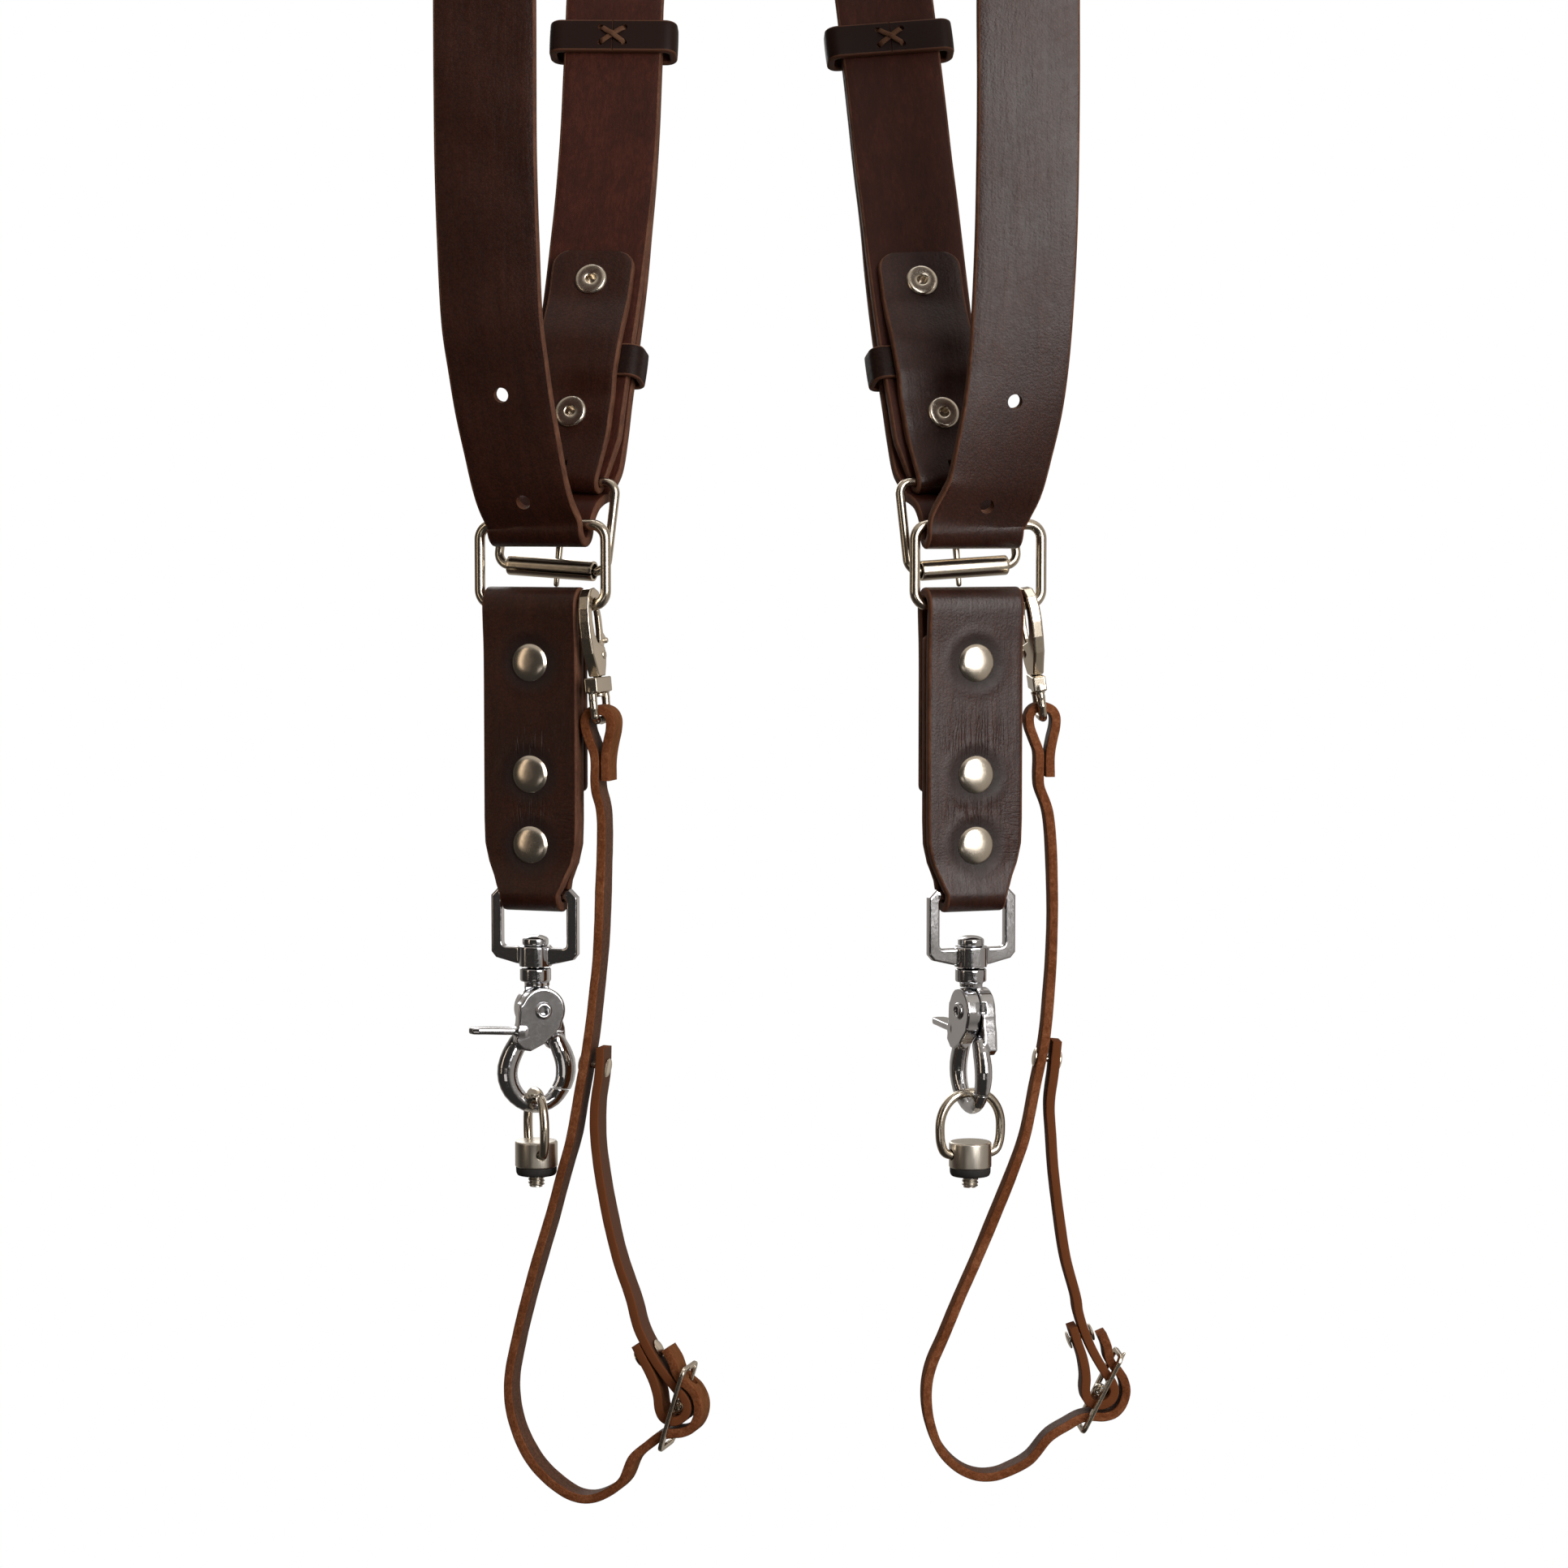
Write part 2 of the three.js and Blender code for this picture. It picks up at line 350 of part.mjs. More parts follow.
for (const name of ['left', 'right']) {
  const S = side[name];
  // rivets of the folded strap end
  for (const [l, tag] of [[RIVET_LOW, 'lower'], [RIVET_HIGH, 'upper']]) {
    const f = S.at(l), d = lerpTable(FOLD_OFF, l) + STRAP_T / 2 + 0.3;
    put(`strap_rivet_${tag}_${name}`, rivet(f.p, f.N, d, STRAP_T / 2 + 0.2, 6.2, 0.9, 6.0, 1.3, 2), COLOUR.nickel, 0.35, 1);
  }
  // keepers: leather loops round the strap layers
  for (const [l, tag, inner, outer, th] of [[KEEPER_LOW, 'lower', -2.35, 6.2 + 2.35, 2.2], [KEEPER_HIGH, 'upper', -2.3, 3.95 + 2.3, 3]]) {
    const f = S.at(l), h = outer - inner, c = (outer + inner) / 2;
    const W = STRAP_W + 1.2 + 3 + (tag === 'upper' ? 1.6 : 0);
    put(`keeper_${tag}_${name}`, plate(roundRect(W + 2 * th, h + 2 * th, Math.min(5, h / 2 + th - 0.2), 3), [roundRect(W, h, 2.2, 2)],
      f.p.clone().addScaledVector(f.N, c), f.W, f.N, f.W.clone().cross(f.N), -6.5, 6.5), COLOUR.leather, 0.6, 0);
  }
  // buckle frame: bent wire with heel bar and roller bar
  const mid = S.H.clone().lerp(S.R, 0.5), across = S.hW, down = S.D, nrm = across.clone().cross(down).normalize();
  put(`buckle_frame_${name}`, loopWire(path2(roundRect(BUCKLE_W, S.span, BUCKLE_R, 3), mid, across, down), nrm, BUCKLE_WIRE, 6), COLOUR.nickel, 0.3, 1);
  const rl = ROLLER_L / 2;
  put(`buckle_roller_${name}`, lathe([[BUCKLE_WIRE + 0.32, -rl], [ROLLER_R, -rl], [ROLLER_R, rl], [BUCKLE_WIRE + 0.32, rl], [BUCKLE_WIRE + 0.32, -rl]], S.R, across, 12), COLOUR.nickel, 0.35, 1);
  let prong = lathe([[BUCKLE_WIRE + 0.3, -2], [3.9, -2], [3.9, 2], [BUCKLE_WIRE + 0.3, 2], [BUCKLE_WIRE + 0.3, -2]], S.H, across, 12);
  prong = prong.add(cyl(1.3, S.prongA.clone(), S.prongB, 8));
  put(`buckle_prong_${name}`, prong, COLOUR.nickel, 0.3, 1);
}

// ------------------------------------------------------ hanging assemblies
for (const name of ['left', 'right']) {
  const S = side[name];
  const g = new THREE.Group();
  g.position.copy(S.o);
  g.rotation.z = S.yaw * rad;
  harness.add(g);
  const P = (u, v, w) => V(u, v, w);
  // rectangular ring
  put(`link_ring_${name}`, loopWire(path2(roundRect(RING_W, RING_H, RING_R, 3), V(0, 0, -RING_H / 2), X, Z), V(0, -1, 0), RING_WIRE, 6), COLOUR.nickel, 0.3, 1, g);

  // leather tab: down behind, over the ring, down the front, round the snap's eye, up inside
  const tab = [[3.95, -99.7, 30], [3.95, -97, 36.5], [3.95, -92], [3.95, -70], [3.97, -52], [4.2, -44], [4.75, -36.5]];
  for (let i = 0; i <= 6; i++) tab.push([5.0 * Math.cos(i * 30 * rad), -30 + 5.0 * Math.sin(i * 30 * rad)]);
  tab.push([-4.75, -36.5], [-4.2, -44], [-3.97, -52], [-3.95, -70], [-3.95, -92], [-3.95, -110], [-3.95, -119, 37.6], [-3.97, -126.3, 34], [-4.75, -131.5, 28.5], [-5.8, -136, 25]);
  for (let i = 0; i <= 6; i++) tab.push([-1.2 - 4.9 * Math.cos(i * 30 * rad), -137.9 - 4.9 * Math.sin(i * 30 * rad), 24]);
  tab.push([2.4, -133.2, 27], [0.1, -126.5, 34], [0, -119, 37.6], [0, -110], [0, -92], [0, -70], [0, -52], [0, -41]);
  let leather = strap(frames(tab.map(([v, w, wd]) => ({ p: P(TAB_U, v, w), W: X.clone(), w: wd ?? TAB_W, t: TAB_T }))));
  const RIV = [-51.3, -93, -119.5];
  for (const w of RIV) leather = leather.subtract(cyl(2.3, P(TAB_U, -9, w), P(TAB_U, 9, w), 8));
  put(`tab_leather_${name}`, leather, COLOUR.leather, 0.55, 0, g);
  RIV.forEach((w, i) => put(`tab_rivet_${i + 1}_${name}`, rivet(P(TAB_U, 0, w), Y, 3.95 + 1.9, i === 2 ? 1.95 : 3.95 + 1.9, 6.6, 1.7, 5.8, 1.1, 2), COLOUR.nickel, 0.3, 1, g));

  // swivel eye of the snap
  const cv = -1.2, top = -137.9 + EYE_T / 2, bot = top - EYE_H;
  let eye = plate([[-EYE_W / 2, top - 2], [-EYE_W / 2, bot + 4.4], [-EYE_W / 2 + 2, bot + 2.2], [-7, bot], [7, bot], [EYE_W / 2 - 2, bot + 2.2], [EYE_W / 2, bot + 4.4], [EYE_W / 2, top - 2], [EYE_W / 2 - 2, top], [-EYE_W / 2 + 2, top]],
    [[[-13, top - EYE_T], [13, top - EYE_T], [13, bot + 6.4], [-13, bot + 6.4]]], P(TAB_U, cv, 0), X, Z, V(0, -1, 0), -1.8, 1.8);
  const barTop = -157.8, barBot = -165.8;
  eye = eye.add(cyl(6.3, P(TAB_U, cv, barBot), P(TAB_U, cv, barTop), 16));
  eye = eye.subtract(cyl(3.35, P(TAB_U, cv, barBot - 2), P(TAB_U, cv, barTop + 4), 12));
  put(`hook_eye_${name}`, eye, COLOUR.chrome, 0.12, 1, g);

  // snap: its own turned frame about the swivel post
  const h = new THREE.Group();
  h.position.set(TAB_U, cv, -677.4 - RING_Z);
  h.rotation.z = (S.hookYaw - S.yaw) * rad;
  g.add(h);
  const dz = -677.4 - RING_Z, zt = barTop - dz, zb = barBot - dz;
  const pin = [1.5, 0];
  let body = lathe([[0, zt + 4.4], [3.4, zt + 3.6], [4.9, zt + 1.8], [4.9, zt + GAP], [3.0, zt + GAP], [3.0, zb - GAP], [5.8, zb - GAP], [5.8, zb - 5.2], [4.2, zb - 6.6], [4.2, 5], [0, 5]], V(0, 0, 0), Z, 14);
  // rear plate with the lug that carries the fixed jaw
  body = body.add(plate(disc(pin[0], 0, 8.6, 18), [], V(0, 0, 0), X, Z, V(0, -1, 0), -5.75, -0.15));
  body = body.add(plate([[9.6, -2], [11.6, -8], [11.8, -14.5], [5.5, -15.5], [0, -8], [2, 0]], [], V(0, 0, 0), X, Z, V(0, -1, 0), -5.6, -0.15));
  body = body.subtract(box(V(pin[0], -2.85, 0), [20, 6.0, 17.6]));
  const jaw = frames([[8.0, -12.6], [9.9, -16], [11.3, -20], [11.6, -24], [10.7, -28.4], [8.2, -32.4]].map(([a, b], i) => ({ p: V(a, 0, b), W: V(0, 1, 0), w: 3.0, t: [3.6, 3.8, 3.9, 3.8, 3.5, 3.2][i] })));
  const seam = [V(0.98, 0, -0.199), V(0, 1, 0), V(0.199, 0, 0.98)];
  body = body.add(wire(jaw, 8).subtract(box(V(9.6, 0, -30.4).addScaledVector(seam[2], -5 + 0.2), [12, 12, 10], ...seam)));
  body = body.subtract(cyl(2.3, V(pin[0], -8, 0), V(pin[0], 8, 0), 12));
  put(`hook_body_${name}`, body, COLOUR.chrome, 0.12, 1, h);
  let trig = plate(disc(pin[0], 0, 8.6, 18), [], V(0, 0, 0), X, Z, V(0, -1, 0), 0.15, 5.75);
  trig = trig.add(plate([[-6.8, 2], [-8.2, -6], [-9.6, -12], [-4, -15], [2.5, -12.2], [8.0, -6.2], [4, 0]], [], V(0, 0, 0), X, Z, V(0, -1, 0), 0.15, 5.6));
  const arm = frames([[-6.6, -12.4], [-9.4, -17], [-10.9, -21.5], [-10.9, -26], [-9.2, -30.4], [-5.8, -34.2], [-1.5, -36.3], [2.8, -36.0], [6.8, -33.9], [10.7, -28.4]].map(([a, b], i) => ({ p: V(a, 0, b), W: V(0, 1, 0), w: 3.0, t: [3.8, 3.9, 3.9, 3.8, 3.6, 3.2, 2.9, 2.9, 3.1, 3.5][i] })));
  trig = trig.add(wire(arm, 8).subtract(box(V(9.6, 0, -30.4).addScaledVector(seam[2], 5 - 0.2), [12, 12, 10], ...seam)));
  trig = trig.add(box(V(-16.2, -2.05, -7.2), [20.6, 7.3, 2.4])).subtract(box(V(0, 2.85, 0), [18.6, 6.0, 20]));
  trig = trig.subtract(cyl(2.3, V(pin[0], -8, 0), V(pin[0], 8, 0), 12));
  put(`hook_trigger_${name}`, trig, COLOUR.chrome, 0.12, 1, h);
  put(`hook_pin_${name}`, rivet(V(pin[0], 0, 0), Y, 5.75, 5.75, 3.3, 1.0, 3.3, 1.0, 2.0), COLOUR.chrome, 0.15, 1, h);

  // D-ring through the snap, ends in the screw's cap
  const zEnd = -731.8 + 677.4;
  const dr = [[-5.9, zEnd], [-8.6, zEnd], [-10.9, zEnd + 1.4], [-12.3, zEnd + 4.6], [-12.5, -43], [-11.0, -37], [-7.6, -33], [-3.4, -31.6], [0, -31.35]];
  const dPts = [...dr, ...dr.slice(0, -1).reverse().map(([c, b]) => [-c, b])];
  put(`screw_dring_${name}`, wire(frames(dPts.map(([c, b]) => ({ p: V(0, c, b), W: X.clone(), w: 1.8, t: 1.8 }))), 6), COLOUR.nickel, 0.3, 1, h);
  const capTop = -727.2 + 677.4, capBot = -737 + 677.4;
  let cap = lathe([[0, capTop], [CAP_R - 0.6, capTop], [CAP_R, capTop - 0.6], [CAP_R, capBot], [SCREW_R, capBot], [SCREW_R, capBot - 7], [SCREW_R - 0.7, capBot - 7.6], [0, capBot - 7.6]], V(0, 0, 0), Z, 16);
  for (const s of [-1, 1]) cap = cap.subtract(cyl(2.15, V(0, s * 5.5, zEnd), V(0, s * 12, zEnd), 8));
  put(`screw_cap_${name}`, cap, COLOUR.nickel, 0.35, 1, h);
  put(`screw_pad_${name}`, lathe([[SCREW_R + 0.35, capBot - GAP], [7.8, capBot - GAP], [7.8, capBot - 3.2], [SCREW_R + 0.35, capBot - 3.2], [SCREW_R + 0.35, capBot - GAP]], V(0, 0, 0), Z, 16), COLOUR.rubber, 0.9, 0, h);

  // lobster clasp hung on the ring's lower corner, tilted about the v axis
  const c = new THREE.Group();
  c.position.set(19.5, 0, -RING_H);
  const drop = 1.0;                                               // the claw hangs from its inner top
  c.rotation.y = -S.tilt * rad;
  g.add(c);
  c.translateZ(-drop);
  const claw = [[6.4, -0.4], [6.1, 2.8], [4.1, 6.1], [0.5, 7.6], [-3.2, 7.1], [-6.2, 4.3], [-7.8, 0], [-8.3, -5], [-7.9, -11], [-6.8, -17], [-4.6, -22], [-3.2, -25.4], [3.2, -25.4], [4.9, -21.5], [5.9, -17.6], [5.0, -14.6], [1.6, -13.4],
    [-1.2, -12.6], [-3.4, -9.4], [-4.2, -4.6], [-3.9, 0], [-2.5, 2.8], [0.1, 3.7], [2.4, 2.7], [3.5, 0.6], [3.6, -0.4]];
  const pv = [3.3, -17.6];
  let clasp = plate(claw, [], V(0, 0, 0), Y, Z, X, -2.2, 2.2);
  clasp = clasp.subtract(plate([[0.2, -11.5], [12, -11.5], [12, -20.6], [0.2, -20.6]], [], V(0, 0, 0), Y, Z, X, -1.3, 1.3));
  clasp = clasp.add(cyl(0.9, V(-1.6, pv[0], pv[1]), V(1.6, pv[0], pv[1]), 8));
  clasp = clasp.add(lathe([[0, -24.5], [1.5, -24.5], [1.5, -31.6], [2.7, -31.6], [2.7, -33.0], [0, -33.0]], V(0, 0, 0), Z, 10));
  put(`clasp_body_${name}`, clasp, COLOUR.nickel, 0.3, 1, c);
  const gate = [[3.7, -0.8], [6.3, -0.8], [7.0, -4], [7.3, -9.2], [9.6, -11.2], [9.5, -13.2], [7.4, -13.6], [6.4, -17], [5.4, -19.2], [3.3, -20.1], [1.2, -19.2], [0.7, -17], [2.2, -14.4], [3.9, -12], [4.4, -8], [4.2, -3]];
  let lever = plate(gate, [disc(pv[0], pv[1], 1.2, 10)], V(0, 0, 0), Y, Z, X, -1.0, 1.0);
  put(`clasp_lever_${name}`, lever, COLOUR.nickel, 0.3, 1, c);
  // swivel eye, turned so that its bar lies along the tether's width
  const e = new THREE.Group();
  e.rotation.z = (S.tetherYaw - S.yaw) * rad;
  c.add(e);
  let swivel = box(V(0, 0, -28.5), [5, 17.6, 5.6]);
  swivel = swivel.subtract(cyl(1.85, V(0, 0, -20), V(0, 0, -40), 12));
  const ey = -41.7;
  swivel = swivel.add(wire(frames([[-7.4, -30], [-7.4, -37], [-6.9, -40.2], [-5.4, ey], [0, ey], [5.4, ey], [6.9, -40.2], [7.4, -37], [7.4, -30]].map(([a, b]) => ({ p: V(0, a, b), W: X.clone(), w: 1.5, t: 1.5 }))), 6));
  put(`clasp_swivel_${name}`, swivel, COLOUR.nickel, 0.3, 1, e);

  // tether: hangs plumb from the eye's bar
  const E = V(19.5 + 42.7 * Math.sin(S.tilt * rad), 0, -RING_H - 42.7 * Math.cos(S.tilt * rad));
  const t = new THREE.Group();
  t.position.copy(E);
  t.rotation.z = (S.tetherYaw - S.yaw) * rad;
  g.add(t);
  const ez = RING_Z + E.z;                                        // height of the eye's bar
  const turn = S.buckleTurn * rad, C = TETHER_BUCKLE[name];
  const L = ([a, b]) => [C[0] + a * Math.cos(turn) - b * Math.sin(turn), C[1] + a * Math.sin(turn) + b * Math.cos(turn) - ez];
  const two = ([a, b]) => ({ p: V(a, 0, b), W: Y.clone(), w: TETHER_W, t: TETHER_T });
  const fold = [[2.9, -22.4], [2.9, -14], [3.9, -8], [4.9, -3.5], [4.9, 0.4], [3.4, 2.9], [0, 4.0], [-3.4, 2.9], [-4.9, 0.4], [-4.7, -3.5], [-3.1, -8], [-1.3, -13], [-1.2, -22.4], [-0.9, -26]];
  const main = [...fold, ...TETHER_MAIN[name].map(([a, b]) => [a, b - ez]), ...LOCAL_MAIN.map(L)];
  const branch = [...TETHER_BRANCH[name].map(([a, b]) => [a, b - ez]), ...LOCAL_BRANCH.map(L)];
  const fd = V(0.29 * Math.cos(turn) - 0.957 * Math.sin(turn), 0, 0.29 * Math.sin(turn) + 0.957 * Math.cos(turn));   // up the little buckle
  const fn = V(fd.z, 0, -fd.x);                                   // its outer face
  const bc = V(C[0], 0, C[1] - ez);
  const along = (s, n) => bc.clone().addScaledVector(fd, s).addScaledVector(fn, n);
  const needle = cyl(1.9, along(3.2, 2.5), along(18, 3.1), 8);
  let thong = strap(frames(main.map(two)));
  let second = strap(frames(branch.map(two)));
  thong = thong.subtract(needle);
  // slot for the needle's eye and shank in the folded end
  second = second.subtract(box(along(2.2, 3.2), [6, 2.9, 15.5], fn, Y, fn.clone().cross(Y)));
  // rivets: at the join and above the little buckle
  const join = (pt, dir, d0, d1, r) => {
    thong = thong.subtract(cyl(1.5, pt.clone().addScaledVector(dir, -8), pt.clone().addScaledVector(dir, 8), 8));
    second = second.subtract(cyl(1.5, pt.clone().addScaledVector(dir, -8), pt.clone().addScaledVector(dir, 8), 8));
    return rivet(pt, dir, d0, d1, r, 0.9, r, 0.9, 1.2, 10);
  };
  const jz = -697.5 - ez;
  const xOn = (list, z) => { for (let i = 1; i < list.length; i++) { const [a0, b0] = list[i - 1], [a1, b1] = list[i]; if ((b0 - z) * (b1 - z) <= 0) return a0 + (a1 - a0) * (b0 - z) / (b0 - b1); } return 0; };
  const xm = xOn(main.slice(14), jz), xb = xOn(branch, jz);
  const dirJ = V(Math.cos(10 * rad), 0, -Math.sin(10 * rad));
  const pj = V((xm + xb) / 2, 0, jz), half = (xb - xm) / 2 / Math.cos(10 * rad) + TETHER_T / 2;
  const midR = join(pj, dirJ, half + 0.2, half + 0.2, 3.6);
  put(`tether_rivet_join_${name}`, midR, COLOUR.nickel, 0.3, 1, t);
  const [ra, rb] = L([-11.2, 19.4]);
  const dl = V(0.87 * Math.cos(turn) - 0.49 * Math.sin(turn), 0, 0.87 * Math.sin(turn) + 0.49 * Math.cos(turn));
  const pl = V(ra, 0, rb);
  second = second.subtract(cyl(1.5, pl.clone().addScaledVector(dl, -8), pl.clone().addScaledVector(dl, 5), 8));
  put(`tether_rivet_buckle_${name}`, rivet(pl, dl, 4.2, 4.2, 3.4, 0.8, 3.4, 0.8, 1.2, 10), COLOUR.nickel, 0.3, 1, t);
  put(`tether_strap_${name}`, thong, COLOUR.edge, 0.8, 0, t);
  put(`tether_branch_${name}`, second, COLOUR.edge, 0.8, 0, t);
  // little buckle: flat frame with a centre bar, and its needle
  let lb = plate(roundRect(18.4, 33.6, 3, 2), [roundRect(11.8, 30, 1.5, 1)], bc, Y, fd, Y.clone().cross(fd), -0.8, 0.8);
  lb = lb.add(cyl(1.1, bc.clone().addScaledVector(Y, -7.5), bc.clone().addScaledVector(Y, 7.5), 10));
  put(`tether_buckle_${name}`, lb, COLOUR.nickel, 0.35, 1, t);
  let nd = lathe([[1.4, -1.1], [2.6, -1.1], [2.6, 1.1], [1.4, 1.1], [1.4, -1.1]], bc, Y, 10);
  nd = nd.add(cyl(0.75, along(0.3, 2.0), along(16.8, 2.0), 8));
  put(`tether_needle_${name}`, nd, COLOUR.nickel, 0.35, 1, t);
}

export default harness;
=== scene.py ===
import math

import bpy
import bmesh
import numpy as np
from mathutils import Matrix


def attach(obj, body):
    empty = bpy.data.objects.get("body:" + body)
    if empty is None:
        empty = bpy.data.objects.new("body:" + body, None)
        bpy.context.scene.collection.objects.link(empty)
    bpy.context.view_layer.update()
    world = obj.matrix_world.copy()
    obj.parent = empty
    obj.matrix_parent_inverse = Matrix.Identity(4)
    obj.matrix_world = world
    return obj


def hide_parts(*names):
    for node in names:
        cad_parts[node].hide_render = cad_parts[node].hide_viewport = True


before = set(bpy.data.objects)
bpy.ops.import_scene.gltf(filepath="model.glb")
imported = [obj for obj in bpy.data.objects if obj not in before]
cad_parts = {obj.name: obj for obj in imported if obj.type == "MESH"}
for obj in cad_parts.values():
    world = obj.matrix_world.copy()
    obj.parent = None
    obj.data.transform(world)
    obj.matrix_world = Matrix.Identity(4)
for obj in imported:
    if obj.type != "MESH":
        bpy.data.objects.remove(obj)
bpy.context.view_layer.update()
scene = bpy.context.scene
MM = 0.001
RAD = math.pi / 180

# ------------------------------------------------------------------ camera
cam_data = bpy.data.cameras.new("camera")
cam_data.sensor_width = 36
cam_data.lens = 92.236
cam = bpy.data.objects.new("camera", cam_data)
scene.collection.objects.link(cam)
cam.location = (0.0088, -1.5, -0.4824)
cam.rotation_euler = ((90 - 4.2) * RAD, 0, 0)
scene.camera = cam
scene.view_settings.view_transform = "Standard"

# -------------------------------------------------------------- dimensions
STRAP_W, STRAP_T, FOLD_W, FOLD_T = 38, 3.6, 32, 2.6
SIDE_X, RING_Z, YAW = 81.3, -495.6, 20
RING_WIRE, RING_W, RING_H, RING_R = 2.0, 51, 30, 5.5
BUCKLE_WIRE, BUCKLE_W, BUCKLE_R = 1.75, 44.5, 4.6
ROLLER_R, ROLLER_L = 3.75, 35
TAB_W, TAB_T, TAB_U = 38, 3.6, -3
EYE_W, EYE_H, EYE_T = 35, 28.6, 3.8
TETHER_W, TETHER_T = 10, 3.4
HOLE_R, SCREW_R, CAP_R = 2.75, 3.1, 8
SIDES = {
    "left": dict(s=-1, strapU=-0.5, heel=(2.8, 12.5, 16.8), roll=(-1.9, 7.5, -16.2), hookYaw=18, tilt=5.5, tetherYaw=-16, buckleTurn=0, sag=1.7, holes=(-447.9, -486.7)),
    "right": dict(s=1, strapU=-2.5, heel=(-5.0, 12.5, 16.8), roll=(-1.8, 7.5, -16.2), hookYaw=-68, tilt=8.5, tetherYaw=4, buckleTurn=-10, sag=2.4, holes=(-450.1, -488.2)),
}
# Back straps, main layer, from just above the buckle up to the upper keeper.
BACK = {
  'left': [[-70.7, 18, -466.4], [-69.0, 22.5, -451.1], [-67.1, 28, -435.7], [-65.2, 34, -420.2],
    [-63.4, 40.5, -404.5], [-61.8, 47, -388.8], [-60.3, 53.5, -372.9], [-59.2, 60, -357.0],
    [-58.4, 66, -341.0], [-57.9, 72, -324.8], [-57.4, 78, -308.6], [-56.9, 83, -292.4]],
  'right': [[68.4, 18, -466.4], [66.2, 22.5, -451.1], [63.9, 28, -435.7], [61.8, 34, -420.2],
    [60.0, 40.5, -404.5], [58.3, 47, -388.8], [56.6, 53.5, -372.9], [54.7, 60, -357.0],
    [53.1, 66, -341.0], [51.4, 72, -324.8], [49.6, 78, -308.6], [47.7, 83, -292.4]],
}
# From the upper back across to the other shoulder, over it and down the front.
UPPER = {
  'left': [[-54.0, 87.5, -262], [-46.0, 90.5, -232], [-34.0, 92, -204], [-18.5, 92, -177],
    [0, 92, -150], [19.5, 92, -125], [38, 91.5, -102], [56.5, 89.5, -80], [73, 85, -58],
    [86.5, 76, -34], [95, 62, -13], [99, 48, -1.2]],
  'right': [[43.4, 87.5, -262], [36.0, 90.5, -232], [26.5, 92, -204], [14.5, 92, -177],
    [0, 92, -150], [-16.5, 92, -125], [-34.5, 91.5, -102], [-54, 89.5, -80], [-72, 85, -58],
    [-86.5, 76, -34], [-95, 62, -13], [-99, 48, -1.2]],
}
FRONT = {
  'left': [[-100.4, 14, -4.5], [-101, 0, -18], [-101, -10, -40], [-100.8, -16, -75], [-100.6, -19.5, -125],
    [-100.4, -21, -185], [-100.3, -21.3, -245], [-100.2, -21, -304.9], [-100.2, -21.3, -334], [-100.1, -21, -363.5],
    [-99.4, -20, -392.9], [-98.2, -18.2, -422.3], [-96.3, -16.6, -437.1], [-94.2, -14.8, -451.9],
    [-91.5, -12.4, -466.7], [-88.6, -9.2, -481.7], [-86.6, -7.2, -488.6]],
  'right': [[99.9, 14, -4.5], [100.2, 0, -18], [100, -10, -40], [99.4, -16, -75], [98.8, -19.5, -125],
    [98.2, -21, -185], [97.9, -21.3, -245], [97.7, -21, -304.9], [97.9, -21.3, -334], [97.8, -21, -363.5],
    [97.3, -20, -392.9], [96.0, -18.2, -422.3], [94.9, -16.6, -437.1], [93.1, -14.8, -451.9],
    [90.2, -12.4, -466.7], [86.6, -9.2, -481.7], [83.4, -7.2, -488.6]],
}
# Tether: in its own plane (a across, height), measured from the clasp eye's bar.
TETHER_MAIN = {
  'left': [[1.0, -602], [0.6, -632.6], [-0.4, -654], [-2.0, -669.3], [-4.3, -687.7], [-8.3, -709.4], [-11.2, -724.9],
    [-14.8, -737.3], [-20.1, -756.1], [-25.0, -771.8], [-29.6, -787.6], [-33.6, -803.4], [-36.4, -818],
    [-36.2, -827.5], [-34.4, -835.5], [-30.9, -843.7], [-25.7, -851.2], [-17.9, -857.8], [-10.8, -861.4],
    [-4.5, -861.8], [2.1, -859.3], [8.6, -854.1]],
  'right': [[2.4, -603.5], [4.4, -634.2], [4.2, -655.7], [3.3, -671.2], [1.6, -689.7], [-2.0, -708.2], [-5.7, -726.7],
    [-9.9, -739.1], [-17.3, -757.6], [-23.7, -773.1], [-30.5, -788.6], [-36.9, -804.1], [-40.9, -813.4],
    [-42.6, -820.6], [-42.8, -828.4], [-41.5, -836.4], [-37.7, -846.2], [-30.9, -853.4], [-23.7, -856.6],
    [-17.0, -856.7], [-10.8, -854.6], [-3.6, -850.6]],
}
TETHER_BRANCH = {
  'left': [[0.5, -690.6], [0.1, -700], [-1.6, -712], [-1.7, -724.4], [-0.3, -736.7], [3.1, -754.9], [6.9, -770.1], [12.3, -785.3]],
  'right': [[6.1, -690.3], [5.0, -702], [3.6, -714], [4.3, -726.8], [5.2, -739.3], [7.5, -757.9], [10.0, -773.5], [14.2, -789.2]],
}
TETHER_BUCKLE = { 'left': [29.3, -825.0], 'right': [23.6, -825.0] }
# Round the little buckle, measured from its centre bar.
LOCAL_MAIN = [[-16.4, -20.0], [-10.3, -14.6], [-6.0, -11.2], [-2.0, -9.7], [2.6, -9.1], [6.6, -7.1], [9.0, -3.0], [9.3, 2.4], [7.0, 7.2],
  [3.3, 10.3], [0.8, 13.3], [-0.8, 17.6], [-3.7, 22.2]]
LOCAL_BRANCH = [[-14.2, 29.6], [-10.6, 22.4], [-5.6, 14.8], [0.3, 7.7], [3.6, 4.3], [5.0, 1.0], [4.2, -2.2], [1.6, -4.4], [-1.7, -5.0],
  [-4.5, -3.6], [-6.0, -0.4], [-6.6, 4.2], [-8.1, 9.2], [-9.7, 12.9], [-12.0, 17.0], [-15.2, 23.0]]

# ------------------------------------------------------------- vector helpers
def V(*a):
    return np.array(a, float)


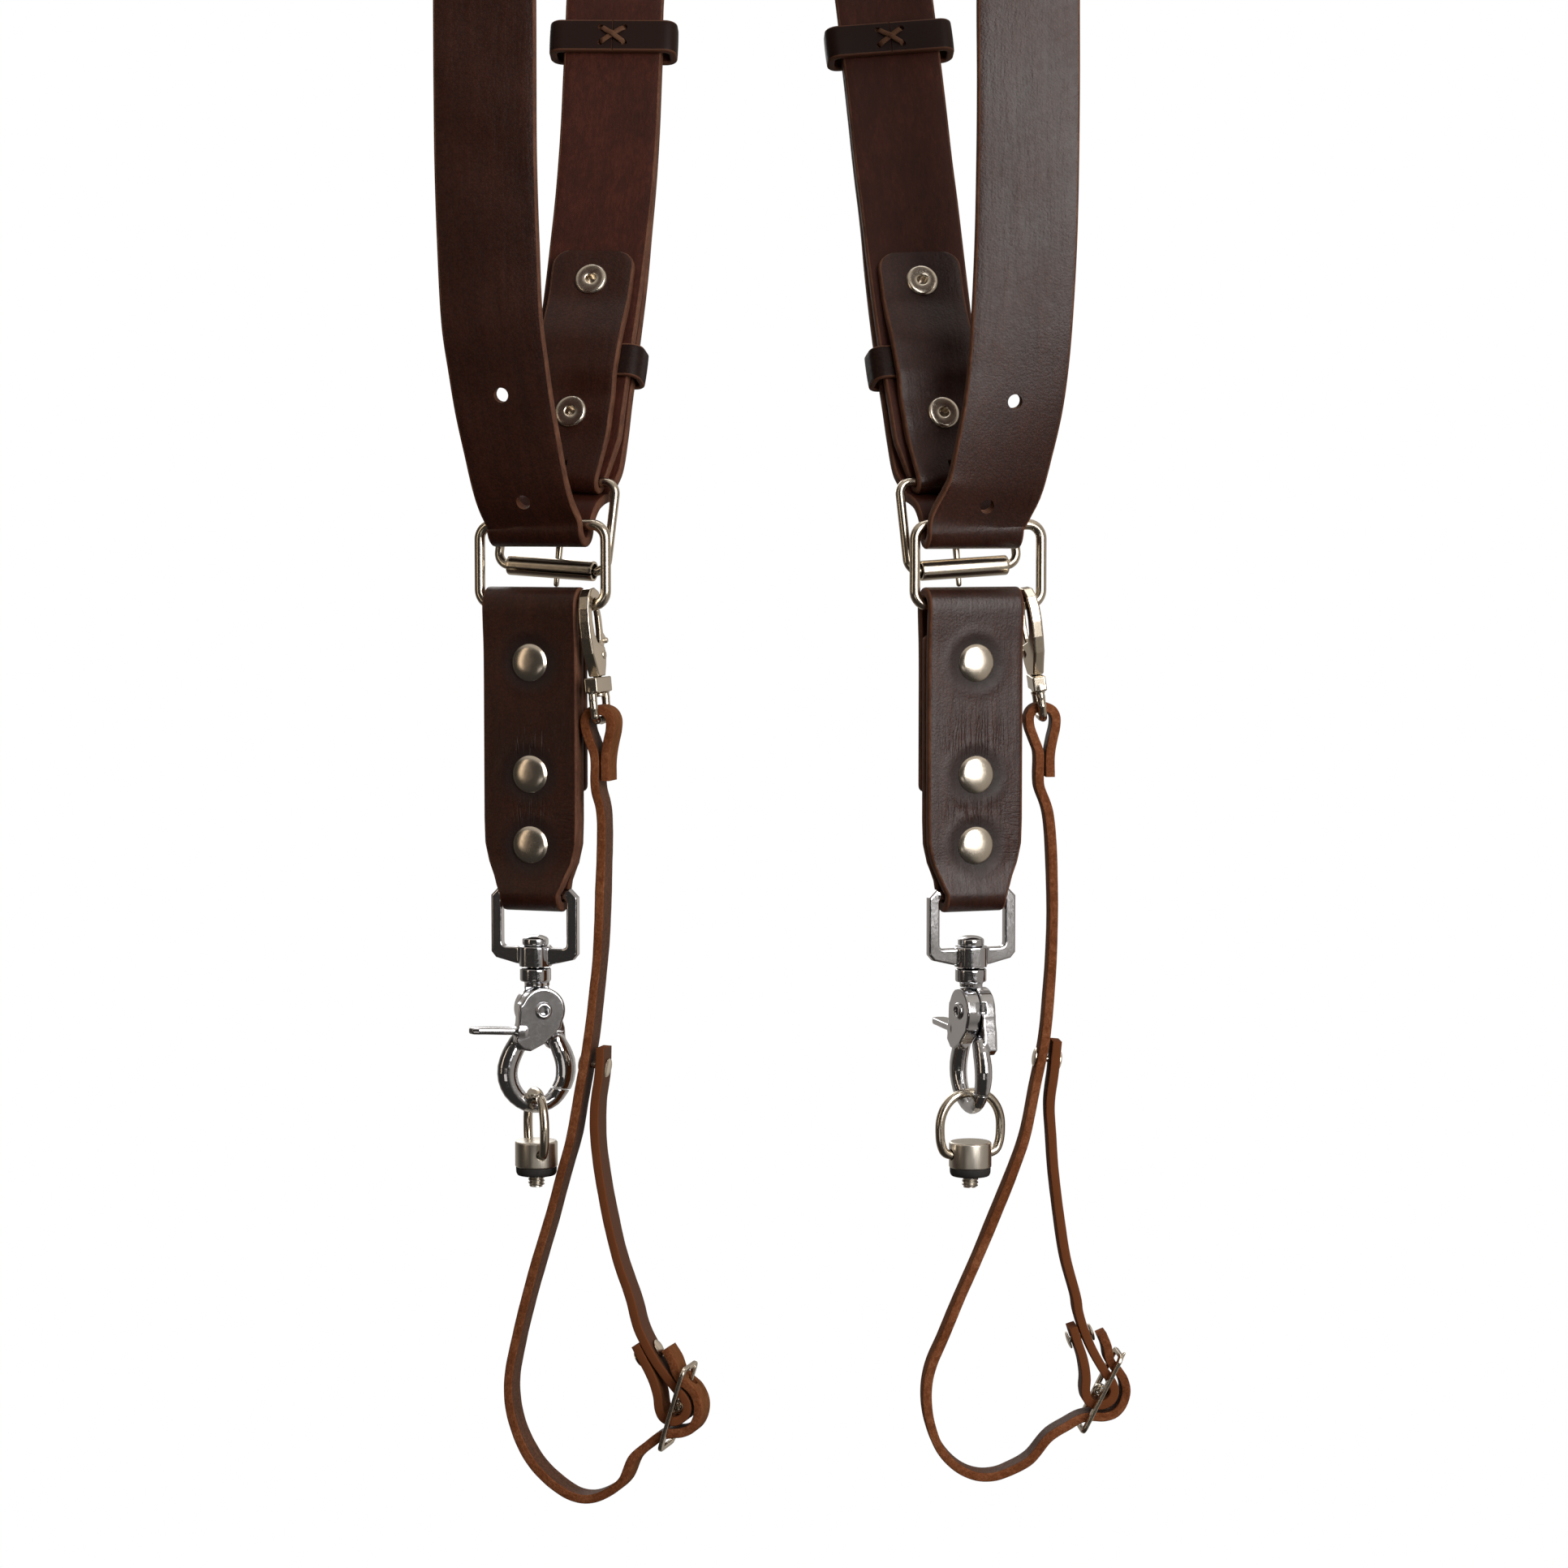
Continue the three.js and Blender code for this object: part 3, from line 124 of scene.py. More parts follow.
def unit(v):
    v = np.asarray(v, float)
    return v / np.linalg.norm(v, axis=-1, keepdims=True)


EX, EY, EZ = V(1, 0, 0), V(0, 1, 0), V(0, 0, 1)


def place(o=(0, 0, 0), x=EX, y=EY, z=EZ):
    m = np.eye(4)
    m[:3, 0], m[:3, 1], m[:3, 2], m[:3, 3] = x, y, z, o
    return m


def rot_z(deg):
    c, s = math.cos(deg * RAD), math.sin(deg * RAD)
    return place((0, 0, 0), V(c, s, 0), V(-s, c, 0), EZ)


def rot_y(deg):
    c, s = math.cos(deg * RAD), math.sin(deg * RAD)
    return place((0, 0, 0), V(c, 0, -s), EY, V(s, 0, c))


def moved(m, p):
    p = np.asarray(p, float)
    return p @ m[:3, :3].T + m[:3, 3]


# ---------------------------------------------------------------- mesh making
LAID = {}       # for each leather mesh, its points and their places along, across and through the strap


def make(name, parts, mats, m=None, sharp=None, attr=False):
    """parts: list of (verts, faces, material index per face or None, strap coordinates or None)."""
    verts, faces, fm, co = [], [], [], []
    n = 0
    for v, f, k, a in parts:
        v = np.asarray(v, float)
        verts.append(v)
        faces += [tuple(i + n for i in q) for q in f]
        fm += list(k) if k is not None else [0] * len(f)
        co.append(a if a is not None else v)
        n += len(v)
    verts = np.concatenate(verts)
    if m is not None:
        verts = moved(m, verts)
    me = bpy.data.meshes.new(name)
    me.from_pydata((verts * MM).tolist(), [], faces)
    for q in mats:
        me.materials.append(q)
    me.polygons.foreach_set("material_index", np.array(fm, np.int32))
    bm = bmesh.new()
    bm.from_mesh(me)
    bmesh.ops.recalc_face_normals(bm, faces=bm.faces)
    bm.to_mesh(me)
    bm.free()
    if attr:
        at = me.attributes.new("strap", "FLOAT_VECTOR", "POINT")
        at.data.foreach_set("vector", (np.concatenate(co) * MM).astype(np.float32).ravel())
        if name != "cutter":
            LAID[name] = (verts * MM, np.concatenate(co) * MM)
    me.shade_smooth()
    if sharp:
        me.set_sharp_from_angle(angle=sharp * RAD)
    me.update()
    ob = bpy.data.objects.new(name, me)
    scene.collection.objects.link(ob)
    return ob


def applied(ob):
    dg = bpy.context.evaluated_depsgraph_get()
    me = bpy.data.meshes.new_from_object(ob.evaluated_get(dg))
    me.name = ob.name
    ob.modifiers.clear()
    ob.data = me
    return ob


def cut(ob, cutters, mats, sharp=35):
    """Cuts closed shapes out of ob; the cut faces take the cutters' material."""
    tool = make("cutter", cutters, mats, attr=True)
    mod = ob.modifiers.new("cut", "BOOLEAN")
    mod.operation, mod.solver, mod.object = "DIFFERENCE", "EXACT", tool
    applied(ob)
    bpy.data.objects.remove(tool)
    ob.data.shade_smooth()
    ob.data.set_sharp_from_angle(angle=sharp * RAD)
    return ob


def relaid(ob):
    """Gives a cut leather mesh the strap places of the points it was cut from."""
    from mathutils import kdtree
    pts, val = LAID.pop(ob.name)
    tree = kdtree.KDTree(len(pts))
    for i, q in enumerate(pts):
        tree.insert(q, i)
    tree.balance()
    got = np.array([val[tree.find(v.co)[1]] for v in ob.data.vertices], np.float32)
    old = ob.data.attributes.get("strap")
    if old is not None:
        ob.data.attributes.remove(old)
    ob.data.attributes.new("strap", "FLOAT_VECTOR", "POINT").data.foreach_set("vector", got.ravel())


def piece(ob, body, slot, *nodes):
    if ob.name in LAID:
        relaid(ob)
    if nodes:
        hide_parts(*nodes)
    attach(ob, body)
    return ob


def sweep(P, A, B, sec, closed=False, col=None, s=None):
    """Section points (M, K, 2) carried along the path P on axes A and B. Returns a part for make()."""
    P, A, B = np.asarray(P, float), np.asarray(A, float), np.asarray(B, float)
    M = len(P)
    sec = np.asarray(sec, float)
    if sec.ndim == 2:
        sec = np.repeat(sec[None], M, 0)
    K = sec.shape[1]
    v = P[:, None] + A[:, None] * sec[..., 0:1] + B[:, None] * sec[..., 1:2]
    if s is None:
        s = np.r_[0, np.cumsum(np.linalg.norm(np.diff(P, axis=0), axis=1))]
    co = np.concatenate([np.repeat(np.asarray(s, float)[:, None, None], K, 1), sec], 2)
    v, co = v.reshape(-1, 3), co.reshape(-1, 3)
    faces, fm = [], []
    for i in range(M if closed else M - 1):
        a, b = i * K, ((i + 1) % M) * K
        for j in range(K):
            k = (j + 1) % K
            faces.append((a + j, a + k, b + k, b + j))
            fm.append(col[j] if col is not None else 0)
    if not closed:
        edge = 1 if col is not None else 0
        for a, c in ((0, P[0]), ((M - 1) * K, P[-1])):
            mid = v[a:a + K].mean(0)
            v = np.vstack([v, mid])
            co = np.vstack([co, co[a:a + K].mean(0)])
            n = len(v) - 1
            for j in range(K):
                faces.append((a + j, a + (j + 1) % K, n))
                fm.append(edge)
    return v, faces, fm, co


def ring_pts(r, n=20, flat=1.0):
    a = np.arange(n) / n * 2 * math.pi
    return np.stack([np.cos(a) * r, np.sin(a) * r * flat], 1)


def rounded(profile, r, closed=False, n=3):
    """Small fillets on the corners of a profile."""
    p = [np.array(q, float) for q in profile]
    out = []
    m = len(p)
    for i in range(m):
        if not closed and i in (0, m - 1):
            out.append(p[i])
            continue
        a, b, c = p[i - 1], p[i], p[(i + 1) % m]
        la, lc = np.linalg.norm(a - b), np.linalg.norm(c - b)
        if la < 1e-6 or lc < 1e-6:
            continue
        turn = abs(math.degrees(math.acos(np.clip(np.dot((b - a) / la, (c - b) / lc), -1, 1))))
        if turn < 12:
            out.append(b)
            continue
        d = min(r, 0.42 * la, 0.42 * lc)
        s, e = b + (a - b) / la * d, b + (c - b) / lc * d
        for k in range(n + 1):
            t = k / n
            out.append(s * (1 - t) ** 2 + 2 * b * t * (1 - t) + e * t * t)
    return np.array(out)


def lathe(profile, o=(0, 0, 0), axis=EZ, seg=48, closed=False):
    """Turned shape: profile of (radius, height) about an axis through o."""
    y = unit(axis)
    x = unit(np.cross(EZ if abs(y[2]) < 0.9 else EX, y))
    z = np.cross(x, y)
    o = np.asarray(o, float)
    p = np.asarray(profile, float)
    a = np.arange(seg) / seg * 2 * math.pi
    v, faces, rows = [], [], []
    for r, h in p:
        if r < 1e-6:
            rows.append([len(v)])
            v.append(o + y * h)
        else:
            rows.append(list(range(len(v), len(v) + seg)))
            v += [o + y * h + (x * math.sin(t) + z * math.cos(t)) * r for t in a]
    pairs = list(zip(rows[:-1], rows[1:])) + ([(rows[-1], rows[0])] if closed else [])
    for a0, b0 in pairs:
        for j in range(seg):
            k = (j + 1) % seg
            if len(a0) == 1 and len(b0) == 1:
                continue
            if len(a0) == 1:
                faces.append((a0[0], b0[k], b0[j]))
            elif len(b0) == 1:
                faces.append((a0[j], a0[k], b0[0]))
            else:
                faces.append((a0[j], a0[k], b0[k], b0[j]))
    return np.array(v), faces, None, None


def cyl(r, a, b, seg=24, fm=None):
    a, b = np.asarray(a, float), np.asarray(b, float)
    L = np.linalg.norm(b - a)
    v, f, _, _ = lathe([(0, 0), (r, 0), (r, L), (0, L)], a, (b - a) / L, seg)
    return v, f, [fm] * len(f) if fm is not None else None, None


def block(c, size, x=EX, y=EY, z=EZ, fm=None):
    c = np.asarray(c, float)
    v = [c + x * (i * size[0] / 2) + y * (j * size[1] / 2) + z * (k * size[2] / 2) for i in (-1, 1) for j in (-1, 1) for k in (-1, 1)]
    f = [(0, 1, 3, 2), (4, 6, 7, 5), (0, 4, 5, 1), (2, 3, 7, 6), (0, 2, 6, 4), (1, 5, 7, 3)]
    return np.array(v), f, [fm] * 6 if fm is not None else None, None


def catmull(P, step=0.35):
    """Centripetal Catmull-Rom curve through P: dense points and the station number of each."""
    P = np.asarray(P, float)
    Q = np.vstack([2 * P[0] - P[1], P, 2 * P[-1] - P[-2]])
    out, pos = [], []
    for i in range(1, len(Q) - 2):
        p0, p1, p2, p3 = Q[i - 1], Q[i], Q[i + 1], Q[i + 2]
        t0 = 0
        t1 = t0 + math.sqrt(np.linalg.norm(p1 - p0))
        t2 = t1 + math.sqrt(np.linalg.norm(p2 - p1))
        t3 = t2 + math.sqrt(np.linalg.norm(p3 - p2))
        n = max(2, int(np.linalg.norm(p2 - p1) / step))
        t = t1 + (t2 - t1) * (np.arange(n) / n)
        t = t[:, None]
        A1 = (t1 - t) / (t1 - t0) * p0 + (t - t0) / (t1 - t0) * p1
        A2 = (t2 - t) / (t2 - t1) * p1 + (t - t1) / (t2 - t1) * p2
        A3 = (t3 - t) / (t3 - t2) * p2 + (t - t2) / (t3 - t2) * p3
        B1 = (t2 - t) / (t2 - t0) * A1 + (t - t0) / (t2 - t0) * A2
        B2 = (t3 - t) / (t3 - t1) * A2 + (t - t1) / (t3 - t1) * A3
        out.append((t2 - t) / (t2 - t1) * B1 + (t - t1) / (t2 - t1) * B2)
        pos.append(i - 1 + np.arange(n) / n)
    out.append(P[-1:])
    pos.append([len(P) - 1])
    return np.concatenate(out), np.concatenate(pos)


def yaw_w(yaw):
    return V(math.cos(yaw * RAD), math.sin(yaw * RAD), 0)


def frames(st):
    """Stations (p, W, w, t) to centres and axes, at the stations only."""
    out = []
    for i, (p, W, w, t) in enumerate(st):
        a, b = st[max(0, i - 1)][0], st[min(len(st) - 1, i + 1)][0]
        T = b - a
        if 0 < i < len(st) - 1:
            u, v = p - a, b - p
            lu, lv = np.linalg.norm(u), np.linalg.norm(v)
            T = u / lu / lu + v / lv / lv
        T = unit(T)
        W = unit(W - T * W.dot(T))
        out.append(dict(p=p, T=T, W=W, N=np.cross(T, W), w=w, t=t))
    return out


class Path:
    """A smooth strap line through stations (p, W, w, t)."""

    def __init__(self, st):
        P, pos = catmull([q[0] for q in st])
        k = np.arange(len(st))
        W = np.array([q[1] for q in st], float)
        self.P = P
        self.W = np.stack([np.interp(pos, k, W[:, i]) for i in range(3)], 1)
        self.w = np.interp(pos, k, [q[2] for q in st])
        self.t = np.interp(pos, k, [q[3] for q in st])
        self.pos = pos
        self.s = np.r_[0, np.cumsum(np.linalg.norm(np.diff(P, axis=0), axis=1))]
        self.L = self.s[-1]
        d = np.gradient(P, self.s, axis=0)
        ker = np.ones(5) / 5
        d = np.stack([np.convolve(np.pad(d[:, i], 2, "edge"), ker, "valid") for i in range(3)], 1)
        self.T = unit(d)

    def at(self, s):
        s = np.asarray(s, float)
        f = lambda a: np.stack([np.interp(s, self.s, a[:, i]) for i in range(3)], -1)
        T = unit(f(self.T))
        W = f(self.W)
        W = unit(W - T * (W * T).sum(-1, keepdims=True))
        return f(self.P), T, W, np.cross(T, W), np.interp(s, self.s, self.w), np.interp(s, self.s, self.t)

    def grid(self, step, ang, ends=()):
        """Distances along the line, closer together where it bends and at its rounded ends."""
        k = np.linalg.norm(np.gradient(self.T, self.s, axis=0), axis=1)
        k = np.convolve(np.pad(k, 4, "edge"), np.ones(9) / 9, "valid")
        rho = np.maximum(1 / step, k / (ang * RAD))
        c = np.r_[0, np.cumsum((rho[1:] + rho[:-1]) / 2 * np.diff(self.s))]
        g = np.interp(np.linspace(0, c[-1], max(4, int(math.ceil(c[-1])) + 1)), c, self.s)
        for at_end, r in ends:
            a = np.linspace(0, 90, 9) * RAD
            d = r * (1 - np.cos(a)) if r > 0 else np.array([0.0])
            d = self.L - d if at_end else d
            lo, hi = d.min(), d.max()
            g = np.r_[g[(g < lo - 0.3) | (g > hi + 0.3)], d]
        g = np.unique(np.round(np.clip(g, 0, self.L), 5))
        return g


def strap_section(w, t, r, nx, na=3):
    """Rounded flat section of width w and thickness t: grain side, edge, flesh side, edge."""
    h, q = w / 2, t / 2
    pts, col = [], []
    for i in range(nx):
        pts.append((-h + r + (2 * h - 2 * r) * i / nx, q))
        col.append(0)
    for k in range(na):
        a = (90 - 90 * k / na) * RAD
        pts.append((h - r + r * math.cos(a), q - r + r * math.sin(a)))
        col.append(1)
    pts.append((h, q - r))
    col.append(1)
    for k in range(na):
        a = (-90 * k / na) * RAD
        pts.append((h - r + r * math.cos(a), -q + r + r * math.sin(a)))
        col.append(1)
    for i in range(nx):
        pts.append((h - r - (2 * h - 2 * r) * i / nx, -q))
        col.append(2)
    for k in range(na):
        a = (-90 - 90 * k / na) * RAD
        pts.append((-h + r + r * math.cos(a), -q + r + r * math.sin(a)))
        col.append(1)
    pts.append((-h, -q + r))
    col.append(1)
    for k in range(na):
        a = (180 - 90 * k / na) * RAD
        pts.append((-h + r + r * math.cos(a), q - r + r * math.sin(a)))
        col.append(1)
    return np.array(pts), col


def leather(st, nx=12, step=2.4, ang=5.0, r=0.8, r0=0.0, r1=0.0, shape=None, off=0.0):
    """A flat strap through stations, with rounded ends of radius r0 and r1. shape(s, sec, frame) may push the section points along the normal."""
    path = Path(st)
    g = path.grid(step, ang, ((False, r0), (True, r1)))
    P, T, W, N, w, t = path.at(g)
    secs = []
    for i, s in enumerate(g):
        wi = w[i]
        for d, rr in ((s, r0), (path.L - s, r1)):
            if rr > 0 and d < rr:
                wi = wi - 2 * rr + 2 * math.sqrt(max(rr * rr - (rr - d) ** 2, 0.0))
        sec, col = strap_section(max(wi, 4 * r), t[i], min(r, t[i] * 0.45), nx)
        secs.append(sec)
    secs = np.array(secs)
    if shape is not None:
        secs = shape(g, secs, (P, T, W, N), path)
    part = sweep(P, W, N, secs, col=col, s=g + off)
    return part, path


# ------------------------------------------------------- solids by distance
def seg_dist(p, a, b, ra, rb):
    a, b = np.asarray(a, float), np.asarray(b, float)
    d = b - a
    t = np.clip(((p - a) @ d) / d.dot(d), 0, 1)
    return np.linalg.norm(p - a - t[:, None] * d, axis=1) - (ra + (rb - ra) * t)


def sd_tube(p, pts, radii, k=0.6):
    out = None
    for i in range(len(pts) - 1):
        d = seg_dist(p, pts[i], pts[i + 1], radii[i], radii[i + 1])
        out = d if out is None else smin(out, d, k)
    return out


def smin(a, b, k=0.6):
    h = np.maximum(k - np.abs(a - b), 0) / k
    return np.minimum(a, b) - h * h * k / 4


def smax(a, b, k=0.6):
    return -smin(-a, -b, k)


def sd_cyl(p, a, b, r, rnd=0.0):
    a, b = np.asarray(a, float), np.asarray(b, float)
    L = np.linalg.norm(b - a)
    u = (b - a) / L
    h = (p - (a + b) / 2) @ u
    rad = np.linalg.norm(p - (a + b) / 2 - h[:, None] * u, axis=1)
    dx, dy = rad - r + rnd, np.abs(h) - L / 2 + rnd
    return np.minimum(np.maximum(dx, dy), 0) + np.hypot(np.maximum(dx, 0), np.maximum(dy, 0)) - rnd


def sd_box(p, c, size, rnd=0.0, axes=None):
    q = p - np.asarray(c, float)
    if axes is not None:
        q = q @ np.stack(axes, 1)
    q = np.abs(q) - np.asarray(size, float) / 2 + rnd
    return np.minimum(q.max(1), 0) + np.linalg.norm(np.maximum(q, 0), axis=1) - rnd


def sd_poly(x, y, poly):
    poly = np.asarray(poly, float)
    d = np.full(len(x), 1e9)
    inside = np.zeros(len(x), bool)
    n = len(poly)
    for i in range(n):
        ax, ay = poly[i]
        bx, by = poly[i - 1]
        ex, ey = bx - ax, by - ay
        wx, wy = x - ax, y - ay
        t = np.clip((wx * ex + wy * ey) / (ex * ex + ey * ey), 0, 1)
        d = np.minimum(d, (wx - ex * t) ** 2 + (wy - ey * t) ** 2)
        c = ((ay > y) != (by > y)) & (x < (bx - ax) * (y - ay) / ((by - ay) if by != ay else 1e-12) + ax)
        inside ^= c
    return np.sqrt(d) * np.where(inside, -1, 1)


def sd_plate(d2, z, z0, z1, rnd=0.5):
    """Plate from a flat outline's distance d2, between z0 and z1, with rounded rims."""
    dx, dz = d2 + rnd, np.abs(z - (z0 + z1) / 2) - (z1 - z0) / 2 + rnd
    return np.minimum(np.maximum(dx, dz), 0) + np.hypot(np.maximum(dx, 0), np.maximum(dz, 0)) - rnd


def smooth_poly(poly, n=4):
    """Closed outline rounded by a Catmull-Rom curve."""
    p = np.asarray(poly, float)
    q, _ = catmull(np.vstack([p[-2:], p, p[:3]]), step=1e9 if n < 2 else 0.6)
    # keep one turn: from the third point round to it again
    i0 = np.argmin(np.linalg.norm(q[: len(q) // 3] - p[0], axis=1))
    i1 = len(q) // 2 + np.argmin(np.linalg.norm(q[len(q) // 2:] - p[0], axis=1))
    return q[i0:i1]


def surface(f, lo, hi, h):
    """Closed mesh of the shape where f < 0."""
    lo, hi = np.asarray(lo, float) - 2 * h, np.asarray(hi, float) + 2 * h
    n = np.ceil((hi - lo) / h).astype(int) + 1
    ax = [lo[i] + h * np.arange(n[i]) for i in range(3)]
    G = np.stack(np.meshgrid(*ax, indexing="ij"), -1).reshape(-1, 3)
    g = np.concatenate([f(G[i:i + 400000]) for i in range(0, len(G), 400000)]).reshape(n)
    g = np.where(g == 0, 1e-9, g)
    cells = tuple(n - 1)
    acc, cnt = np.zeros(cells + (3,)), np.zeros(cells)
    cross = []
    for a in range(3):
        lo_s = [slice(None)] * 3
        hi_s = [slice(None)] * 3
        lo_s[a], hi_s[a] = slice(0, -1), slice(1, None)
        ga, gb = g[tuple(lo_s)], g[tuple(hi_s)]
        c = (ga < 0) != (gb < 0)
        t = np.where(c, ga / np.where(c, ga - gb, 1), 0)
        cross.append((c, ga < 0))
        o = [i for i in range(3) if i != a]
        idx = np.stack(np.meshgrid(*[np.arange(k) for k in c.shape], indexing="ij"), -1).astype(float)
        idx[..., a] += t
        for d0 in (0, 1):
            for d1 in (0, 1):
                s = [slice(None)] * 3
                s[o[0]] = slice(d0, c.shape[o[0]] - 1 + d0)
                s[o[1]] = slice(d1, c.shape[o[1]] - 1 + d1)
                cc = c[tuple(s)]
                acc += np.where(cc[..., None], idx[tuple(s)], 0)
                cnt += cc
    used = cnt > 0
    vid = np.full(cells, -1)
    vid[used] = np.arange(used.sum())
    v = lo + acc[used] / cnt[used][:, None] * h
    faces = []
    for a in range(3):
        c, neg = cross[a]
        o = [i for i in range(3) if i != a]
        I = np.argwhere(c)
        ok = np.all([(I[:, o[0]] > 0), (I[:, o[1]] > 0), (I[:, o[0]] < cells[o[0]]), (I[:, o[1]] < cells[o[1]])], axis=0)
        I = I[ok]
        sg = neg[tuple(I.T)]
        q = []
        for d0, d1 in ((1, 1), (0, 1), (0, 0), (1, 0)):
            J = I.copy()
            J[:, o[0]] -= d0
            J[:, o[1]] -= d1
            q.append(vid[tuple(J.T)])
        q = np.stack(q, 1)
        if a == 1:
            q = q[:, ::-1]
        q = np.where(sg[:, None], q, q[:, ::-1])
        faces.append(q)
    faces = np.concatenate(faces)
    e = h * 0.25
    for _ in range(3):
        d = f(v)
        gr = np.stack([f(v + e * u) - f(v - e * u) for u in np.eye(3)], 1) / (2 * e)
        l2 = np.maximum((gr ** 2).sum(1), 0.25)
        mv = gr * (d / l2)[:, None]
        ln = np.linalg.norm(mv, axis=1, keepdims=True)
        v = v - mv * np.minimum(1, 0.4 * h / np.maximum(ln, 1e-9))
    return v, faces.tolist(), None, None


# ------------------------------------------------------------------ materials
class Nodes:
    def __init__(self, name):
        self.m = bpy.data.materials.new(name)
        self.m.use_nodes = True
        self.t = self.m.node_tree
        self.t.nodes.clear()
        self.out = self.t.nodes.new("ShaderNodeOutputMaterial")
        self.b = self.t.nodes.new("ShaderNodeBsdfPrincipled")
        self.t.links.new(self.b.outputs[0], self.out.inputs[0])

    def link(self, a, b):
        self.t.links.new(a, b)

    def coords(self, strap=False):
        if strap:
            n = self.t.nodes.new("ShaderNodeAttribute")
            n.attribute_name = "strap"
            return n.outputs["Vector"]
        return self.t.nodes.new("ShaderNodeTexCoord").outputs["Object"]

    def scaled(self, v, s, rot=(0, 0, 0)):
        n = self.t.nodes.new("ShaderNodeMapping")
        n.inputs["Scale"].default_value = s
        n.inputs["Rotation"].default_value = rot
        self.link(v, n.inputs["Vector"])
        return n.outputs[0]

    def noise(self, v, scale, detail=3.0, rough=0.55, distort=0.0):
        n = self.t.nodes.new("ShaderNodeTexNoise")
        n.inputs["Scale"].default_value = scale
        n.inputs["Detail"].default_value = detail
        n.inputs["Roughness"].default_value = rough
        n.inputs["Distortion"].default_value = distort
        self.link(v, n.inputs["Vector"])
        return n.outputs["Fac"]

    def voronoi(self, v, scale, feature="F1"):
        n = self.t.nodes.new("ShaderNodeTexVoronoi")
        n.feature = feature
        n.inputs["Scale"].default_value = scale
        self.link(v, n.inputs["Vector"])
        return n.outputs["Distance"]

    def span(self, v, a, b, c, d):
        n = self.t.nodes.new("ShaderNodeMapRange")
        for i, x in enumerate((a, b, c, d)):
            n.inputs[i + 1].default_value = x
        self.link(v, n.inputs[0])
        return n.outputs[0]

    def ramp(self, v, *stops):
        n = self.t.nodes.new("ShaderNodeValToRGB")
        e = n.color_ramp.elements
        while len(e) < len(stops):
            e.new(0.5)
        for k, (p, c) in zip(e, stops):
            k.position, k.color = p, tuple(c) + (1,)
        self.link(v, n.inputs[0])
        return n.outputs[0]

    def math(self, op, a, b):
        n = self.t.nodes.new("ShaderNodeMath")
        n.operation = op
        for i, x in enumerate((a, b)):
            if isinstance(x, (int, float)):
                n.inputs[i].default_value = x
            else:
                self.link(x, n.inputs[i])
        return n.outputs[0]

    def mix(self, f, a, b, kind="MIX"):
        n = self.t.nodes.new("ShaderNodeMix")
        n.data_type, n.blend_type = "RGBA", kind
        for i, x in ((0, f), (6, a), (7, b)):
            if isinstance(x, (int, float)):
                n.inputs[i].default_value = x
            elif isinstance(x, tuple):
                n.inputs[i].default_value = x + (1,)
            else:
                self.link(x, n.inputs[i])
        return n.outputs[2]

    def bump(self, h, dist, strength=1.0, under=None):
        n = self.t.nodes.new("ShaderNodeBump")
        n.inputs["Strength"].default_value = strength
        n.inputs["Distance"].default_value = dist
        self.link(h, n.inputs["Height"])
        if under is not None:
            self.link(under, n.inputs["Normal"])
        self.link(n.outputs[0], self.b.inputs["Normal"])
        return n.outputs[0]

    def set(self, **k):
        for name, x in k.items():
            s = self.b.inputs[name.replace("_", " ")]
            if isinstance(x, (int, float)):
                s.default_value = x
            elif isinstance(x, tuple):
                s.default_value = x + (1,)
            else:
                self.link(x, s)
        return self.m


